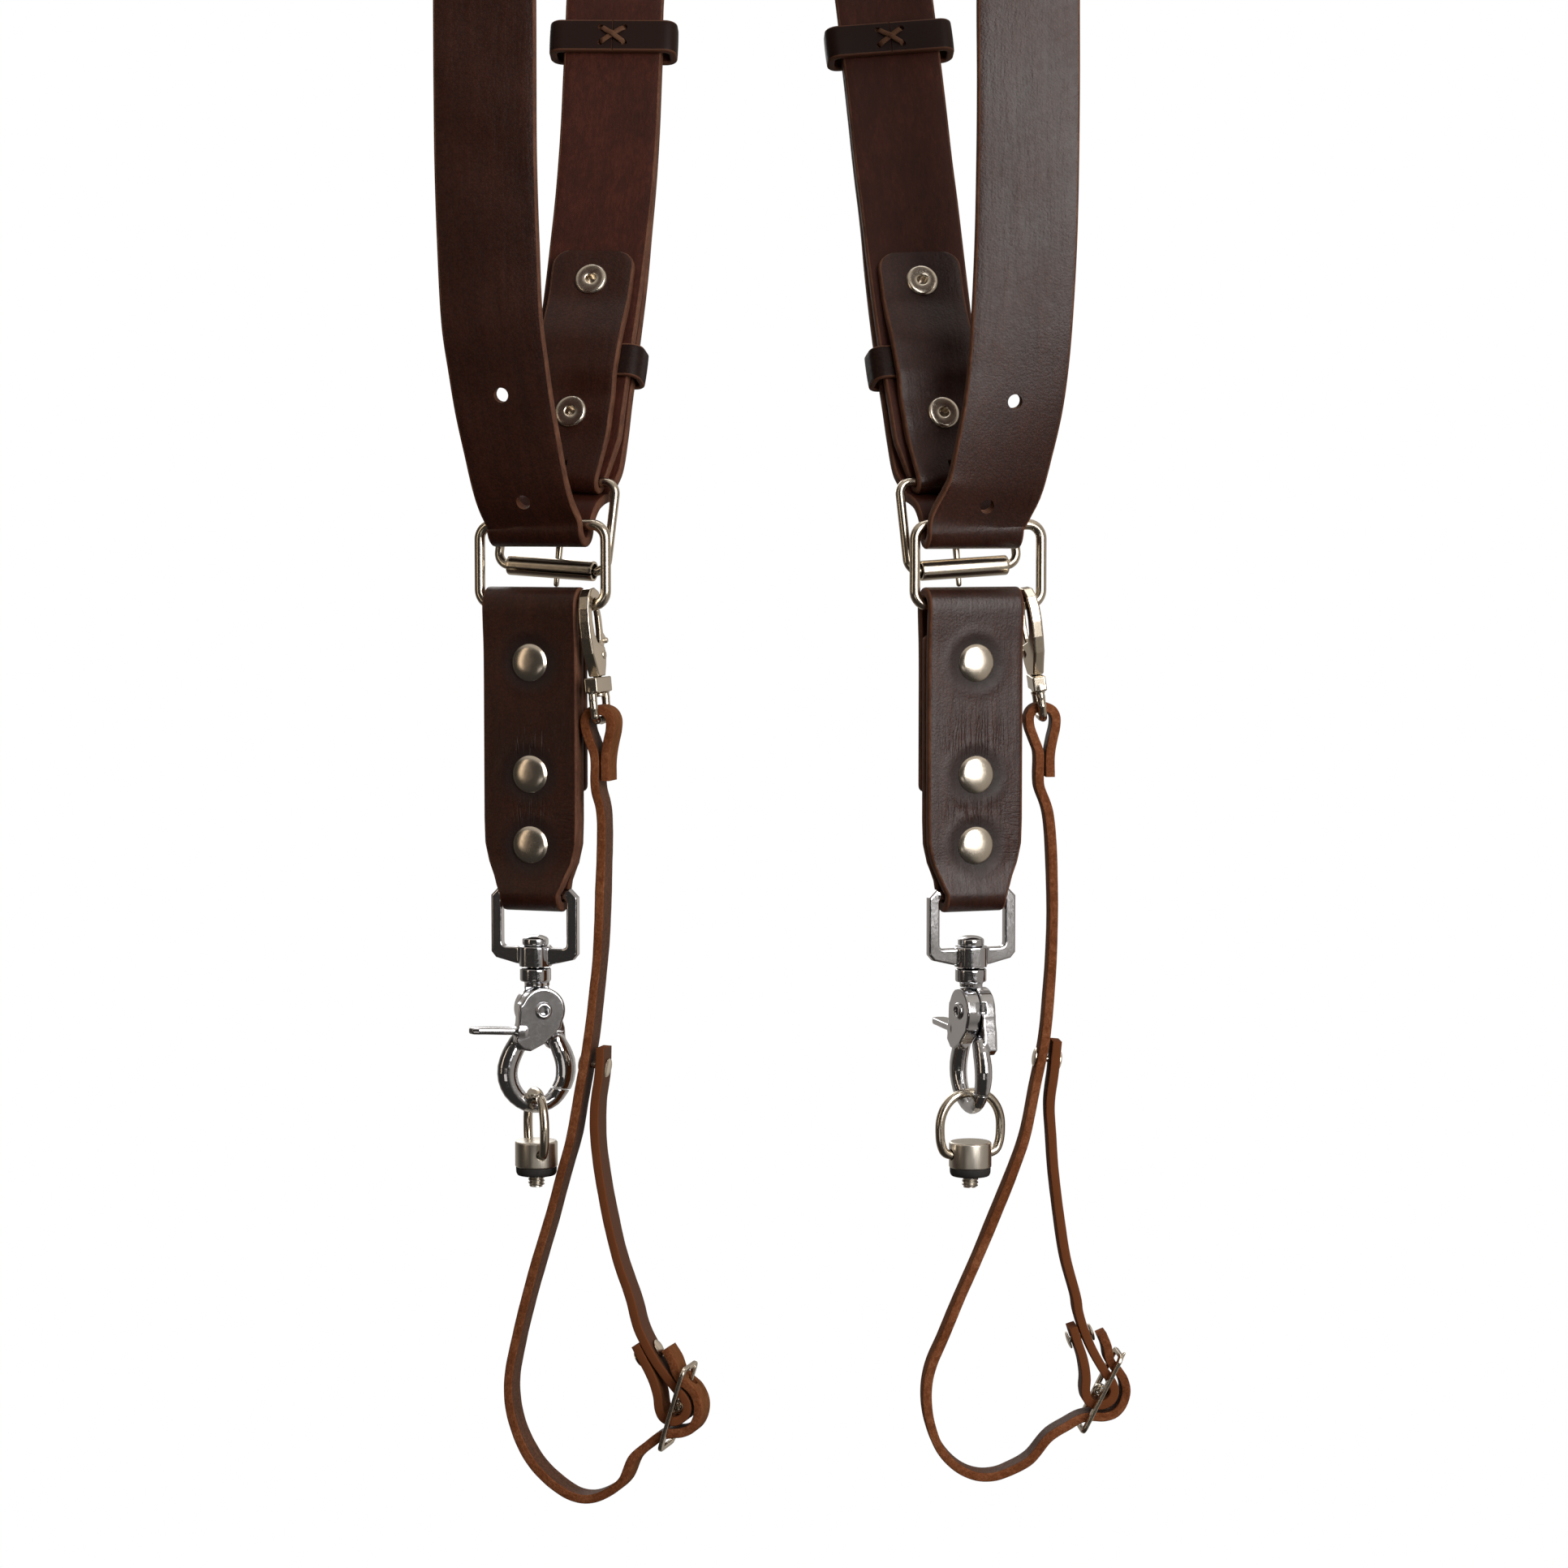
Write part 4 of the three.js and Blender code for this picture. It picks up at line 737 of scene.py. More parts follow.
def grain(name, dark, mid, light, rough=(0.34, 0.50), spec=0.45, strap=True, rivets=(), crease_bump_and_shade=0.0):
    """Smooth side: pebbled, with drawn streaks and painted shade in the valleys between the pebbles; rivets lists
    heights where a rivet puckers it, with painted shade in a ring round each rivet and along its creases.
    """
    n = Nodes(name)
    c = n.coords(strap)
    patch = n.noise(c, 26, 6, 0.62)
    streak = n.noise(n.scaled(c, (35, 260, 260)), 1.0, 4)
    pebble = n.voronoi(c, 1150)
    pore = n.noise(c, 2300, 3, 0.7)
    fine = n.noise(c, 420, 4, 0.6)
    tone = n.math("ADD", n.math("MULTIPLY", patch, 0.55), n.math("MULTIPLY", streak, 0.45))
    col = n.ramp(tone, (0.30, dark), (0.52, mid), (0.74, light))
    # painted shade: the colour is darkened towards the valleys between the pebbles
    col = n.mix(n.span(pebble, 0.05, 0.70, 0.0, 0.55), col, tuple(0.30 * x for x in dark))
    rg = n.span(n.math("ADD", n.math("MULTIPLY", patch, 0.6), n.math("MULTIPLY", fine, 0.4)), 0.32, 0.70, *rough)
    b = n.bump(n.math("ADD", n.math("MULTIPLY", pebble, -0.75), n.math("MULTIPLY", pore, 0.35)), 0.00010, 0.6)
    b = n.bump(n.math("ADD", patch, n.math("MULTIPLY", streak, 0.6)), 0.0011, 0.30, under=b)
    if rivets:
        at, ab = n.t.nodes.new("ShaderNodeSeparateXYZ"), n.t.nodes.new("ShaderNodeSeparateXYZ")
        n.link(c, at.inputs[0])
        n.link(n.coords(), ab.inputs[0])
        across, height = at.outputs[1], ab.outputs[2]
        rivet_shade_ring = None
        for z in rivets:
            dz = n.math("SUBTRACT", height, z)
            d = n.math("SQRT", n.math("ADD", n.math("MULTIPLY", across, across), n.math("MULTIPLY", dz, dz)), 0.0)
            h = n.span(d, 0.0078, 0.0135, 1.0, 0.0)
            rivet_shade_ring = h if rivet_shade_ring is None else n.math("MAXIMUM", rivet_shade_ring, h)
        # painted shade: a dark ring round each rivet, in the dip where the leather is drawn in; the same ring is made
        # rougher too
        col = n.mix(n.math("MULTIPLY", rivet_shade_ring, 0.75), col, tuple(0.25 * x for x in dark))
        rg = n.math("ADD", rg, n.math("MULTIPLY", rivet_shade_ring, 0.16))

        def creases(v, width):
            k = n.noise(v, 1.0, 3, 0.55, 0.3)
            return n.span(n.math("ABSOLUTE", n.math("SUBTRACT", k, 0.5), 0.0), 0.0, width, 1.0, 0.0)

        def zone(lo0, lo1, hi0, hi1):
            return n.math("MULTIPLY", n.span(height, lo0, lo1, 0.0, 1.0), n.span(height, hi0, hi1, 1.0, 0.0))

        z2, z3 = rivets[1], rivets[2]
        up = creases(n.scaled(c, (52, 430, 0)), 0.055)
        mask = n.math("ADD", zone(z2 + 0.005, z2 + 0.010, z2 + 0.010, z2 + 0.030), n.math("MULTIPLY", zone(z3 + 0.006, z3 + 0.010, z2 - 0.011, z2 - 0.007), 0.8))
        wide = n.span(n.math("ABSOLUTE", across, 0.0), 0.005, 0.016, 1.0, 0.05)
        flat = creases(n.scaled(c, (430, 60, 0), (0, 0, 0.35)), 0.05)
        edge = n.math("MULTIPLY", n.span(across, 0.008, 0.015, 0.0, 0.7), zone(z3 - 0.010, z3 - 0.002, z3 + 0.014, z3 + 0.022))
        h = n.math("ADD", n.math("MULTIPLY", n.math("MULTIPLY", up, mask), wide), n.math("MULTIPLY", n.math("MULTIPLY", flat, edge), 0.8))
        # painted shade: the colour is darkened along the creases, in step with their bump below
        col = n.mix(n.math("MULTIPLY", h, 0.45 * crease_bump_and_shade), col, tuple(0.25 * x for x in dark))
        n.bump(n.math("MULTIPLY", h, -1.0), 0.0006 * crease_bump_and_shade, 0.8, under=b)
    return n.set(Base_Color=col, Roughness=rg, Specular_IOR_Level=spec)


def fibre(name, dark, mid, light, strap=True, scale=1.0, bump=0.00035, rough=(0.80, 0.97), spec=0.12, sheen=0.0, along=0.35):
    """Cut edges and flesh side: raw fibres, matted along the strap."""
    n = Nodes(name)
    c = n.coords(strap)
    patch = n.noise(c, 45, 5, 0.6)
    hair = n.noise(n.scaled(c, (along, 1, 1)), 1500 * scale, 6, 0.72, 0.4)
    clump = n.noise(n.scaled(c, (along, 1, 1)), 420 * scale, 4, 0.65, 0.8)
    tone = n.math("ADD", n.math("ADD", n.math("MULTIPLY", patch, 0.3), n.math("MULTIPLY", hair, 0.4)), n.math("MULTIPLY", clump, 0.3))
    col = n.ramp(tone, (0.36, dark), (0.50, mid), (0.64, light))
    n.bump(n.math("ADD", n.math("MULTIPLY", hair, 0.6), n.math("MULTIPLY", clump, 0.4)), bump, 0.75)
    n.set(Sheen_Weight=sheen) if sheen else None
    return n.set(Base_Color=col, Roughness=n.span(hair, 0.3, 0.7, *rough), Specular_IOR_Level=spec)


def metal(name, colour, rough, wear=0.5, brushed=None, bump=0.000006):
    n = Nodes(name)
    c = n.coords()
    cloud = n.noise(c, 60, 4, 0.55)
    speck = n.noise(c, 1400, 4, 0.65)
    scratch = n.noise(n.scaled(c, brushed or (300, 2600, 900), (0.3, 0.5, 0.2)), 1.0, 3, 0.6)
    tone = n.math("ADD", n.math("MULTIPLY", cloud, 0.75), n.math("MULTIPLY", speck, 0.25))
    dull = tuple(x * (1 - 0.20 * wear) for x in colour)
    col = n.mix(n.span(tone, 0.42, 0.68, 0, 1), colour, dull)
    rg = n.span(n.math("ADD", n.math("MULTIPLY", tone, 0.55), n.math("MULTIPLY", scratch, 0.45)), 0.35, 0.65, *rough)
    n.bump(n.math("ADD", n.math("MULTIPLY", scratch, 0.7), n.math("MULTIPLY", speck, 0.3)), bump * 0.35, 0.3)
    return n.set(Base_Color=col, Roughness=rg, Metallic=1.0)


HIDE = ((0.022, 0.0044, 0.0014), (0.040, 0.0078, 0.0025), (0.064, 0.0145, 0.0056))
M_GRAIN = grain("leather_grain", *HIDE)
RIV_Z = [(RING_Z + w) * MM for w in (-51.3, -93, -119.5)]
# tab leathers: painted shade round the rivets and along the creases, the creases deeper and darker on the right tab
M_TAB_LEFT = grain("tab_grain_left", *HIDE, rivets=RIV_Z, crease_bump_and_shade=0.22)
M_TAB_RIGHT = grain("tab_grain_right", *HIDE, rivets=RIV_Z, crease_bump_and_shade=0.34)
# painted shade: the keepers get a darker, duller copy of the strap leather for the shade they hang in at the back
M_KEEPER_SHADED = grain("keeper_grain_shaded", (0.009, 0.0028, 0.0015), (0.020, 0.0058, 0.0029), (0.032, 0.0100, 0.0050), rough=(0.50, 0.62), spec=0.18)
M_EDGE = fibre("leather_edge", (0.045, 0.016, 0.008), (0.105, 0.040, 0.020), (0.175, 0.076, 0.042), scale=0.9, bump=0.0002, rough=(0.55, 0.8), spec=0.25)
M_FLESH = fibre("leather_flesh", (0.024, 0.0050, 0.0022), (0.043, 0.0088, 0.0040), (0.074, 0.0175, 0.0085), scale=0.8, bump=0.00018, rough=(0.50, 0.66), spec=0.22)
M_THONG = grain("tether_grain", (0.070, 0.028, 0.014), (0.125, 0.052, 0.028), (0.190, 0.088, 0.050), rough=(0.55, 0.7), spec=0.14)
M_THONG_EDGE = fibre("tether_edge", (0.085, 0.026, 0.0085), (0.180, 0.060, 0.0240), (0.310, 0.125, 0.058), scale=1.0, bump=0.0005, rough=(0.9, 1.0), spec=0.04, along=0.75)
M_THONG_FLESH = fibre("tether_flesh", (0.085, 0.029, 0.010), (0.160, 0.060, 0.022), (0.250, 0.105, 0.045), scale=0.9, bump=0.0004, spec=0.06)
M_LACE = fibre("keeper_lace", (0.060, 0.026, 0.014), (0.110, 0.052, 0.029), (0.180, 0.095, 0.056), scale=0.8, bump=0.0002, rough=(0.6, 0.85), strap=True)
M_NICKEL = metal("warm_nickel", (0.66, 0.585, 0.48), (0.15, 0.24), 0.5)
M_RIVET = metal("rivet_nickel", (0.78, 0.70, 0.59), (0.20, 0.28), 0.35)
M_CHROME = metal("snap_chrome", (0.66, 0.665, 0.69), (0.06, 0.15), 0.3)
M_SATIN = metal("satin_nickel", (0.66, 0.615, 0.54), (0.26, 0.42), 0.5, brushed=(2600, 2600, 60), bump=0.00003)


def rubber():
    n = Nodes("black_rubber")
    c = n.coords()
    a = n.noise(c, 1500, 4, 0.6)
    p = n.noise(c, 160, 4, 0.6)
    n.bump(a, 0.00012, 0.6)
    return n.set(Base_Color=n.ramp(p, (0.3, (0.010, 0.0095, 0.009)), (0.7, (0.024, 0.022, 0.021))), Roughness=n.span(a, 0.3, 0.7, 0.62, 0.85), Specular_IOR_Level=0.4)


M_RUBBER = rubber()
STRAP_MATS = [M_GRAIN, M_EDGE, M_FLESH]
KEEPER_MATS = [M_KEEPER_SHADED, M_EDGE, M_FLESH]
TAB_MATS = {"left": [M_TAB_LEFT, M_EDGE, M_FLESH], "right": [M_TAB_RIGHT, M_EDGE, M_FLESH]}
THONG_MATS = [M_THONG, M_THONG_EDGE, M_THONG_FLESH]

# --------------------------------------------------------------- world, lights
world = bpy.data.worlds.new("studio")
scene.world = world
world.use_nodes = True
wt = world.node_tree
wt.nodes.clear()
wo = wt.nodes.new("ShaderNodeOutputWorld")
mixs = wt.nodes.new("ShaderNodeMixShader")
white, room = wt.nodes.new("ShaderNodeBackground"), wt.nodes.new("ShaderNodeBackground")
path_node = wt.nodes.new("ShaderNodeLightPath")
white.inputs[0].default_value = (1, 1, 1, 1)
white.inputs[1].default_value = 1.0
wt.links.new(path_node.outputs["Is Camera Ray"], mixs.inputs[0])
wt.links.new(room.outputs[0], mixs.inputs[1])
wt.links.new(white.outputs[0], mixs.inputs[2])
wt.links.new(mixs.outputs[0], wo.inputs[0])
tc, sx = wt.nodes.new("ShaderNodeTexCoord"), wt.nodes.new("ShaderNodeSeparateXYZ")
wt.links.new(tc.outputs["Generated"], sx.inputs[0])


def wspan(sock, a, b, c, d):
    n = wt.nodes.new("ShaderNodeMapRange")
    n.interpolation_type = "SMOOTHSTEP"
    for i, x in enumerate((a, b, c, d)):
        n.inputs[i + 1].default_value = x
    wt.links.new(sock, n.inputs[0])
    return n.outputs[0]


def wadd(a, b):
    n = wt.nodes.new("ShaderNodeMath")
    n.operation = "ADD"
    wt.links.new(a, n.inputs[0])
    wt.links.new(b, n.inputs[1])
    return n.outputs[0]


level = wadd(wadd(wspan(sx.outputs[1], 0.15, 0.75, 0.036, 0.34), wspan(sx.outputs[0], 0.35, 0.8, 0.0, 0.30)), wspan(sx.outputs[2], 0.35, 0.9, 0.0, 0.45))
wt.links.new(level, room.inputs[1])
room.inputs[0].default_value = (1.0, 0.91, 0.81, 1)


def area(name, at, target, sx_, sy_, radiance, colour=(1, 1, 1)):
    d = bpy.data.lights.new(name, "AREA")
    d.shape, d.size, d.size_y = "RECTANGLE", sx_, sy_
    d.energy = radiance * math.pi * sx_ * sy_
    d.color = colour
    o = bpy.data.objects.new(name, d)
    scene.collection.objects.link(o)
    z = unit(np.array(at, float) - np.array(target, float))
    x = unit(np.cross(EZ if abs(z[2]) < 0.95 else EY, z))
    y = np.cross(z, x)
    m = place(at, x, y, z)
    from mathutils import Matrix
    o.matrix_world = Matrix(m.tolist())
    return o


area("key_right", (0.80, -1.30, -0.06), (0.05, 0.0, -0.40), 0.95, 1.45, 5.6, (1.0, 0.975, 0.95))
area("fill_left", (-1.45, -0.95, -0.2), (-0.05, 0.0, -0.5), 0.30, 1.3, 1.5, (1.0, 0.80, 0.60))
area("top_soft", (0.1, 0.25, 1.15), (0.0, 0.05, -0.4), 1.2, 0.7, 1.8)
area("low_front", (-0.25, -1.5, -1.05), (0.0, 0.0, -0.6), 0.7, 0.25, 0.8, (1.0, 0.93, 0.85))
area("back_soft", (-0.5, 1.6, 0.15), (0.0, 0.05, -0.35), 0.8, 1.2, 2.2)

# ------------------------------------------------------------------- the floor
fl = Nodes("pale_floor")
fc = fl.coords()
fl.set(Base_Color=fl.ramp(fl.noise(fc, 3, 4), (0.3, (0.80, 0.80, 0.795)), (0.7, (0.84, 0.84, 0.835))), Roughness=0.9, Specular_IOR_Level=0.1)
glow = fl.t.nodes.new("ShaderNodeEmission")
glow.inputs[0].default_value = (1, 1, 1, 1)
grad = fl.t.nodes.new("ShaderNodeVectorMath")
grad.operation = "LENGTH"
fl.link(fc, grad.inputs[0])
fm_ = fl.t.nodes.new("ShaderNodeMapRange")
fm_.interpolation_type = "SMOOTHSTEP"
for i_, x_ in enumerate((0.30, 0.90, 0.0, 1.0)):
    fm_.inputs[i_ + 1].default_value = x_
fl.link(grad.outputs["Value"], fm_.inputs[0])
fmix = fl.t.nodes.new("ShaderNodeMixShader")
fl.link(fm_.outputs[0], fmix.inputs[0])
fl.link(fl.b.outputs[0], fmix.inputs[1])
fl.link(glow.outputs[0], fmix.inputs[2])
fl.link(fmix.outputs[0], fl.out.inputs[0])
fbm = bmesh.new()
bmesh.ops.create_circle(fbm, cap_ends=True, segments=96, radius=14.0)
fme = bpy.data.meshes.new("floor")
fbm.to_mesh(fme)
fbm.free()
fme.materials.append(fl.m)
floor = bpy.data.objects.new("floor", fme)
scene.collection.objects.link(floor)
floor.location = (0, 0, -1.2)
floor.visible_glossy = False
floor.visible_diffuse = False


# ------------------------------------------------------- layout of each side
side = {}
for name, S in SIDES.items():
    S = dict(S)
    S["yaw"] = S["s"] * YAW
    S["x"] = yaw_w(S["yaw"])
    S["y"] = V(-math.sin(S["yaw"] * RAD), math.cos(S["yaw"] * RAD), 0)
    S["o"] = V(S["s"] * SIDE_X, 0, RING_Z)
    side[name] = S


def at_w(S, a, b, c):
    return S["o"] + S["x"] * a + S["y"] * b + EZ * c


YAW_BACK = [1, 0.95, 0.85, 0.75, 0.65, 0.55, 0.45, 0.38, 0.3, 0.25, 0.2, 0.16, 0.12]
N_BASE = 22
for name, S in side.items():
    H = at_w(S, *S["heel"])
    b0 = np.array(BACK[name][0], float)
    T = unit(b0 - H)
    for _ in range(2):
        W = unit(S["x"] - T * S["x"].dot(T))
        N = np.cross(T, W)
        start = H + N * (BUCKLE_WIRE + 0.25 + FOLD_T / 2)
        T = unit(b0 - start)
    S["H"], S["hN"], S["hW"] = H, N, W
    S["hT"] = np.cross(W, N)
    pts = [start] + [np.array(p, float) for p in BACK[name]]
    dense, pos = catmull(pts, 0.5)
    ds = np.r_[0, np.cumsum(np.linalg.norm(np.diff(dense, axis=0), axis=1))]
    L = ds[-1]
    st = []
    for i in range(N_BASE + 1):
        l = i / N_BASE * L
        p = V(*[np.interp(l, ds, dense[:, k]) for k in range(3)])
        yw = S["yaw"] * np.interp(np.interp(l, ds, pos), np.arange(13), YAW_BACK)
        st.append((p, yaw_w(yw), STRAP_W, STRAP_T))
    S["base"] = frames(st)
    S["base"][0].update(T=S["hT"], W=S["hW"], N=S["hN"])
    S["len"] = L


def base_at(S, l):
    k = min(N_BASE, max(0.0, l / S["len"] * N_BASE))
    j = min(N_BASE - 1, int(k))
    f = k - j
    A, B = S["base"][j], S["base"][j + 1]
    W, T = unit(A["W"] * (1 - f) + B["W"] * f), unit(A["T"] * (1 - f) + B["T"] * f)
    return dict(p=A["p"] * (1 - f) + B["p"] * f, W=W, T=T, N=unit(np.cross(T, W)))


RIVET_LOW, KEEPER_LOW, RIVET_HIGH, KEEPER_HIGH = 26, 48, 80, 184
FOLD_OFF = [[0, 6.6], [8, 6.2], [18, 4.9], [33, 4.9], [41, 7.0], [55, 7.0], [72.5, 4.0], [200, 4.0]]
TAIL_OFF = [[0, 6.9], [8, 6.4], [88, 6.2], [108, 4.15], [300, 4.15]]
FOLD_END, TAIL_END = 92, 199


def table(tab, l):
    return float(np.interp(l, [t[0] for t in tab], [t[1] for t in tab]))


FRONT_YAW = [0, 0.05, 0.12, 0.2, 0.27, 0.33, 0.38, 0.4, 0.4, 0.41, 0.44, 0.5, 0.59, 0.7, 0.83, 0.94, 0.98]


def shoulder_strap(fr_, to):
    A, B, st = side[fr_], side[to], []
    for l in [FOLD_END, FOLD_END - 8, 72.5, 64, 55, 48, 41, 33, RIVET_LOW, 18, 12, 6]:
        f = base_at(A, l)
        st.append((f["p"] - f["N"] * table(FOLD_OFF, l), f["W"], FOLD_W, STRAP_T if l > 14 else FOLD_T))
    r = BUCKLE_WIRE + 0.25 + FOLD_T / 2
    for i in range(8):
        a = i / 8 * math.pi
        st.append((A["H"] - A["hN"] * (r * math.cos(a)) - A["hT"] * (r * math.sin(a)), A["hW"], FOLD_W, FOLD_T))
    for i, f in enumerate(A["base"]):
        st.append((f["p"], f["W"], FOLD_W if i == 0 else 35 if i == 1 else STRAP_W, FOLD_T if i == 0 else 3.1 if i == 1 else STRAP_T))
    lift = 2.45 if fr_ == "right" else -2.45
    for i, p in enumerate(UPPER[fr_]):
        st.append((V(p[0], p[1] + lift * min(1, min(i + 1, 3) / 3) * ((12 - i) / 4 if i > 8 else 1), p[2] + STRAP_T / 2), EX, STRAP_W, STRAP_T))
    for y in (36, 26):
        st.append((V(B["s"] * 99.8, y, STRAP_T / 2), EX, STRAP_W, STRAP_T))
    n_front = len(st)
    for i, p in enumerate(FRONT[to]):
        st.append((V(*p), yaw_w(B["yaw"] * FRONT_YAW[i]), STRAP_W, STRAP_T))
    R = RING_WIRE + 1.0 + STRAP_T / 2
    n_ring = len(st)
    for i in range(9):
        a = i / 8 * math.pi
        st.append((at_w(B, B["strapU"] - 0.6 * (1 - i / 8), -R * math.cos(a), -(R + B["sag"]) * math.sin(a)), B["x"], STRAP_W, STRAP_T))
    hu = B["heel"][0]
    for v, h in [(5.3, 3.6), (8.0, 7.4), (12.6, 9.7), (17.3, 11.3), (20.2, 15.6)]:
        f = h / 16.8
        st.append((at_w(B, B["strapU"] + (hu - B["strapU"]) * f, v, h), unit(B["x"] * (1 - f) + B["hW"] * f), STRAP_W, STRAP_T))
    for l in np.linspace(8, TAIL_END, 17):
        f = base_at(B, l)
        st.append((f["p"] + f["N"] * table(TAIL_OFF, l), f["W"], STRAP_W, STRAP_T))
    return st, n_front, n_ring


# buckle prong lines
for name, S in side.items():
    R, H = at_w(S, *S["roll"]), S["H"]
    D = R - H
    D = D - S["hW"] * D.dot(S["hW"])
    ln = np.linalg.norm(D)
    D = D / ln
    n = unit(np.cross(S["hW"], D))
    if n.dot(S["y"]) < 0:
        n = -n
    S.update(D=D, n=n, R=H + D * ln, span=ln)
    S["prongA"] = H + n * 3.4
    S["prongB"] = H + n * (3.4 + (ROLLER_R + 0.35 + 1.3 - 3.4) * (ln + 5.5) / ln) + D * (ln + 5.5)
CROSS = V(0, 92, -150 + STRAP_T / 2)


def find_front(path, z):
    m = (path.P[:, 1] < 0) & (np.gradient(path.P[:, 2]) < 0)
    i = np.where(m)[0][np.argmin(np.abs(path.P[m][:, 2] - z))]
    return path.at(path.s[i])


for name in ("left", "right"):
    other = "right" if name == "left" else "left"
    A, B = side[other], side[name]
    st, n_front, n_ring = shoulder_strap(other, name)

    def wave(g, secs, fr, path, n0=n_front, n1=n_ring, k=B["s"]):
        """Hand-cut leather never hangs quite flat: slow cupping and waves, none near the hardware."""
        pos = np.interp(g, path.s, path.pos)
        e = np.clip((pos - n0 - 2) / 2, 0, 1) * np.clip((n1 - 4 - pos) / 2, 0, 1)
        a = secs[..., 0] / 19
        d = 0.16 * np.sin(g / 31.0 + k)[:, None] * (1 - 0.5 * a ** 2) + 0.12 * np.sin(g / 13.3 + 2 * k)[:, None] * a
        d = d - 0.22 * (a ** 2 - 0.4)
        out = secs.copy()
        out[..., 1] += d * e[:, None]
        return out

    part, path = leather(st, nx=12, step=2.6, ang=4.5, r=0.85, r0=6.5, r1=8.5, shape=wave, off=0 if name == "left" else 3100)
    ob = make("strap_" + name, [part], STRAP_MATS, attr=True)
    tools = []
    for l in (RIVET_LOW, RIVET_HIGH):
        f = base_at(A, l)
        tools.append(cyl(2.3, f["p"] - f["N"] * 12, f["p"] + f["N"] * 4, 20, fm=1))
    tools.append(block(A["H"] + A["hN"] * 0.6 - A["hT"] * 0.4, [5.2, 13.4, 13.4], A["hW"], A["hN"], A["hT"], fm=1))
    for z in B["holes"]:
        p, T, W, N, _, _ = find_front(path, z)
        tools.append(cyl(HOLE_R, p - N * 5, p + N * 5, 28, fm=1))
    tools.append(cyl(HOLE_R, B["prongA"] + B["D"] * 1.6, B["prongA"] * 0.58 + B["prongB"] * 0.42, 28, fm=1))
    tools.append(cyl(2.9, CROSS - EY * 8, CROSS + EY * 8, 24, fm=1))
    for tl in tools:
        cut(ob, [tl], STRAP_MATS)
    piece(ob, "harness", "strap_leather", "shoulder_strap_" + name)

# ------------------------------------------------------------- back patch
PATCH_Y = 92 + 2.45 + STRAP_T / 2 + 0.3 + 0.1
px, py = V(math.sqrt(0.5), 0, math.sqrt(0.5)), V(-math.sqrt(0.5), 0, math.sqrt(0.5))


def round_rect(w, h, r, n=8, cx=0.0, cy=0.0):
    out = []
    for sx_, sy_, a in ((1, 1, 0), (-1, 1, 90), (-1, -1, 180), (1, -1, 270)):
        for i in range(n + 1):
            t = (a + 90 * i / n) * RAD
            out.append((cx + sx_ * (w / 2 - r) + r * math.cos(t), cy + sy_ * (h / 2 - r) + r * math.sin(t)))
    return np.array(out)


def patch_part():
    """Square leather patch, skived towards its edge, with a creased line where it is sewn."""
    rings, levels = [], []
    for inset, h in ((0.0, 0.5), (0.0, 1.5), (0.35, 2.0), (1.0, 2.3), (2.6, 2.35), (3.1, 2.05), (3.6, 2.35), (8, 2.4), (16, 2.4), (24, 2.4)):
        rings.append(round_rect(58 - 2 * inset, 58 - 2 * inset, max(9 - inset, 0.8) if inset < 9 else 0.8, 10))
        levels.append(h)
    rings = [round_rect(57.2, 57.2, 8.6, 10)] + rings
    levels = [0.0] + levels
    v, f, k = [], [], []
    m = len(rings[0])
    for rg, h in zip(rings, levels):
        v += [V(0, PATCH_Y, CROSS[2]) + px * a + py * b + EY * h for a, b in rg]
    for i in range(len(rings) - 1):
        for j in range(m):
            f.append((i * m + j, i * m + (j + 1) % m, (i + 1) * m + (j + 1) % m, (i + 1) * m + j))
            k.append(1 if i < 3 else 0)
    f.append(tuple(range(m)))
    k.append(2)
    f.append(tuple((len(rings) - 1) * m + j for j in range(m)))
    k.append(0)
    return np.array(v), f, k, None


ob = make("patch", [patch_part()], [grain("patch_grain", *HIDE, strap=False), fibre("patch_edge", (0.045, 0.016, 0.008), (0.105, 0.040, 0.020), (0.175, 0.076, 0.042), strap=False), fibre("patch_flesh", (0.024, 0.0050, 0.0022), (0.043, 0.0088, 0.0040), (0.074, 0.0175, 0.0085), strap=False)], sharp=50, attr=True)
cut(ob, [cyl(2.9, CROSS - EY * 8, CROSS + EY * 12, 24, fm=1)], STRAP_MATS)
piece(ob, "harness", "strap_leather", "back_patch")


def stitch_row(pts, n, d, h=0.55, w=0.42, gap=0.32):
    """Sewing stitches laid end to end along a line of points."""
    parts = []
    for a, b in zip(pts[:-1], pts[1:]):
        L = np.linalg.norm(b - a)
        u = (b - a) / L
        side_ = np.cross(n, u)
        k = np.linspace(0, 1, 9)
        P = a + u * (gap * L / 2 + (1 - gap) * L * k)[:, None] + n * (d + h * np.sin(k * math.pi) ** 0.6 - 0.28)[:, None]
        sc = (np.sin(np.clip(k, 0.03, 0.97) * math.pi) ** 0.35)
        parts.append(sweep(P, np.repeat(side_[None], 9, 0), np.repeat(n[None], 9, 0), ring_pts(w, 10)[None] * sc[:, None, None]))
    return parts


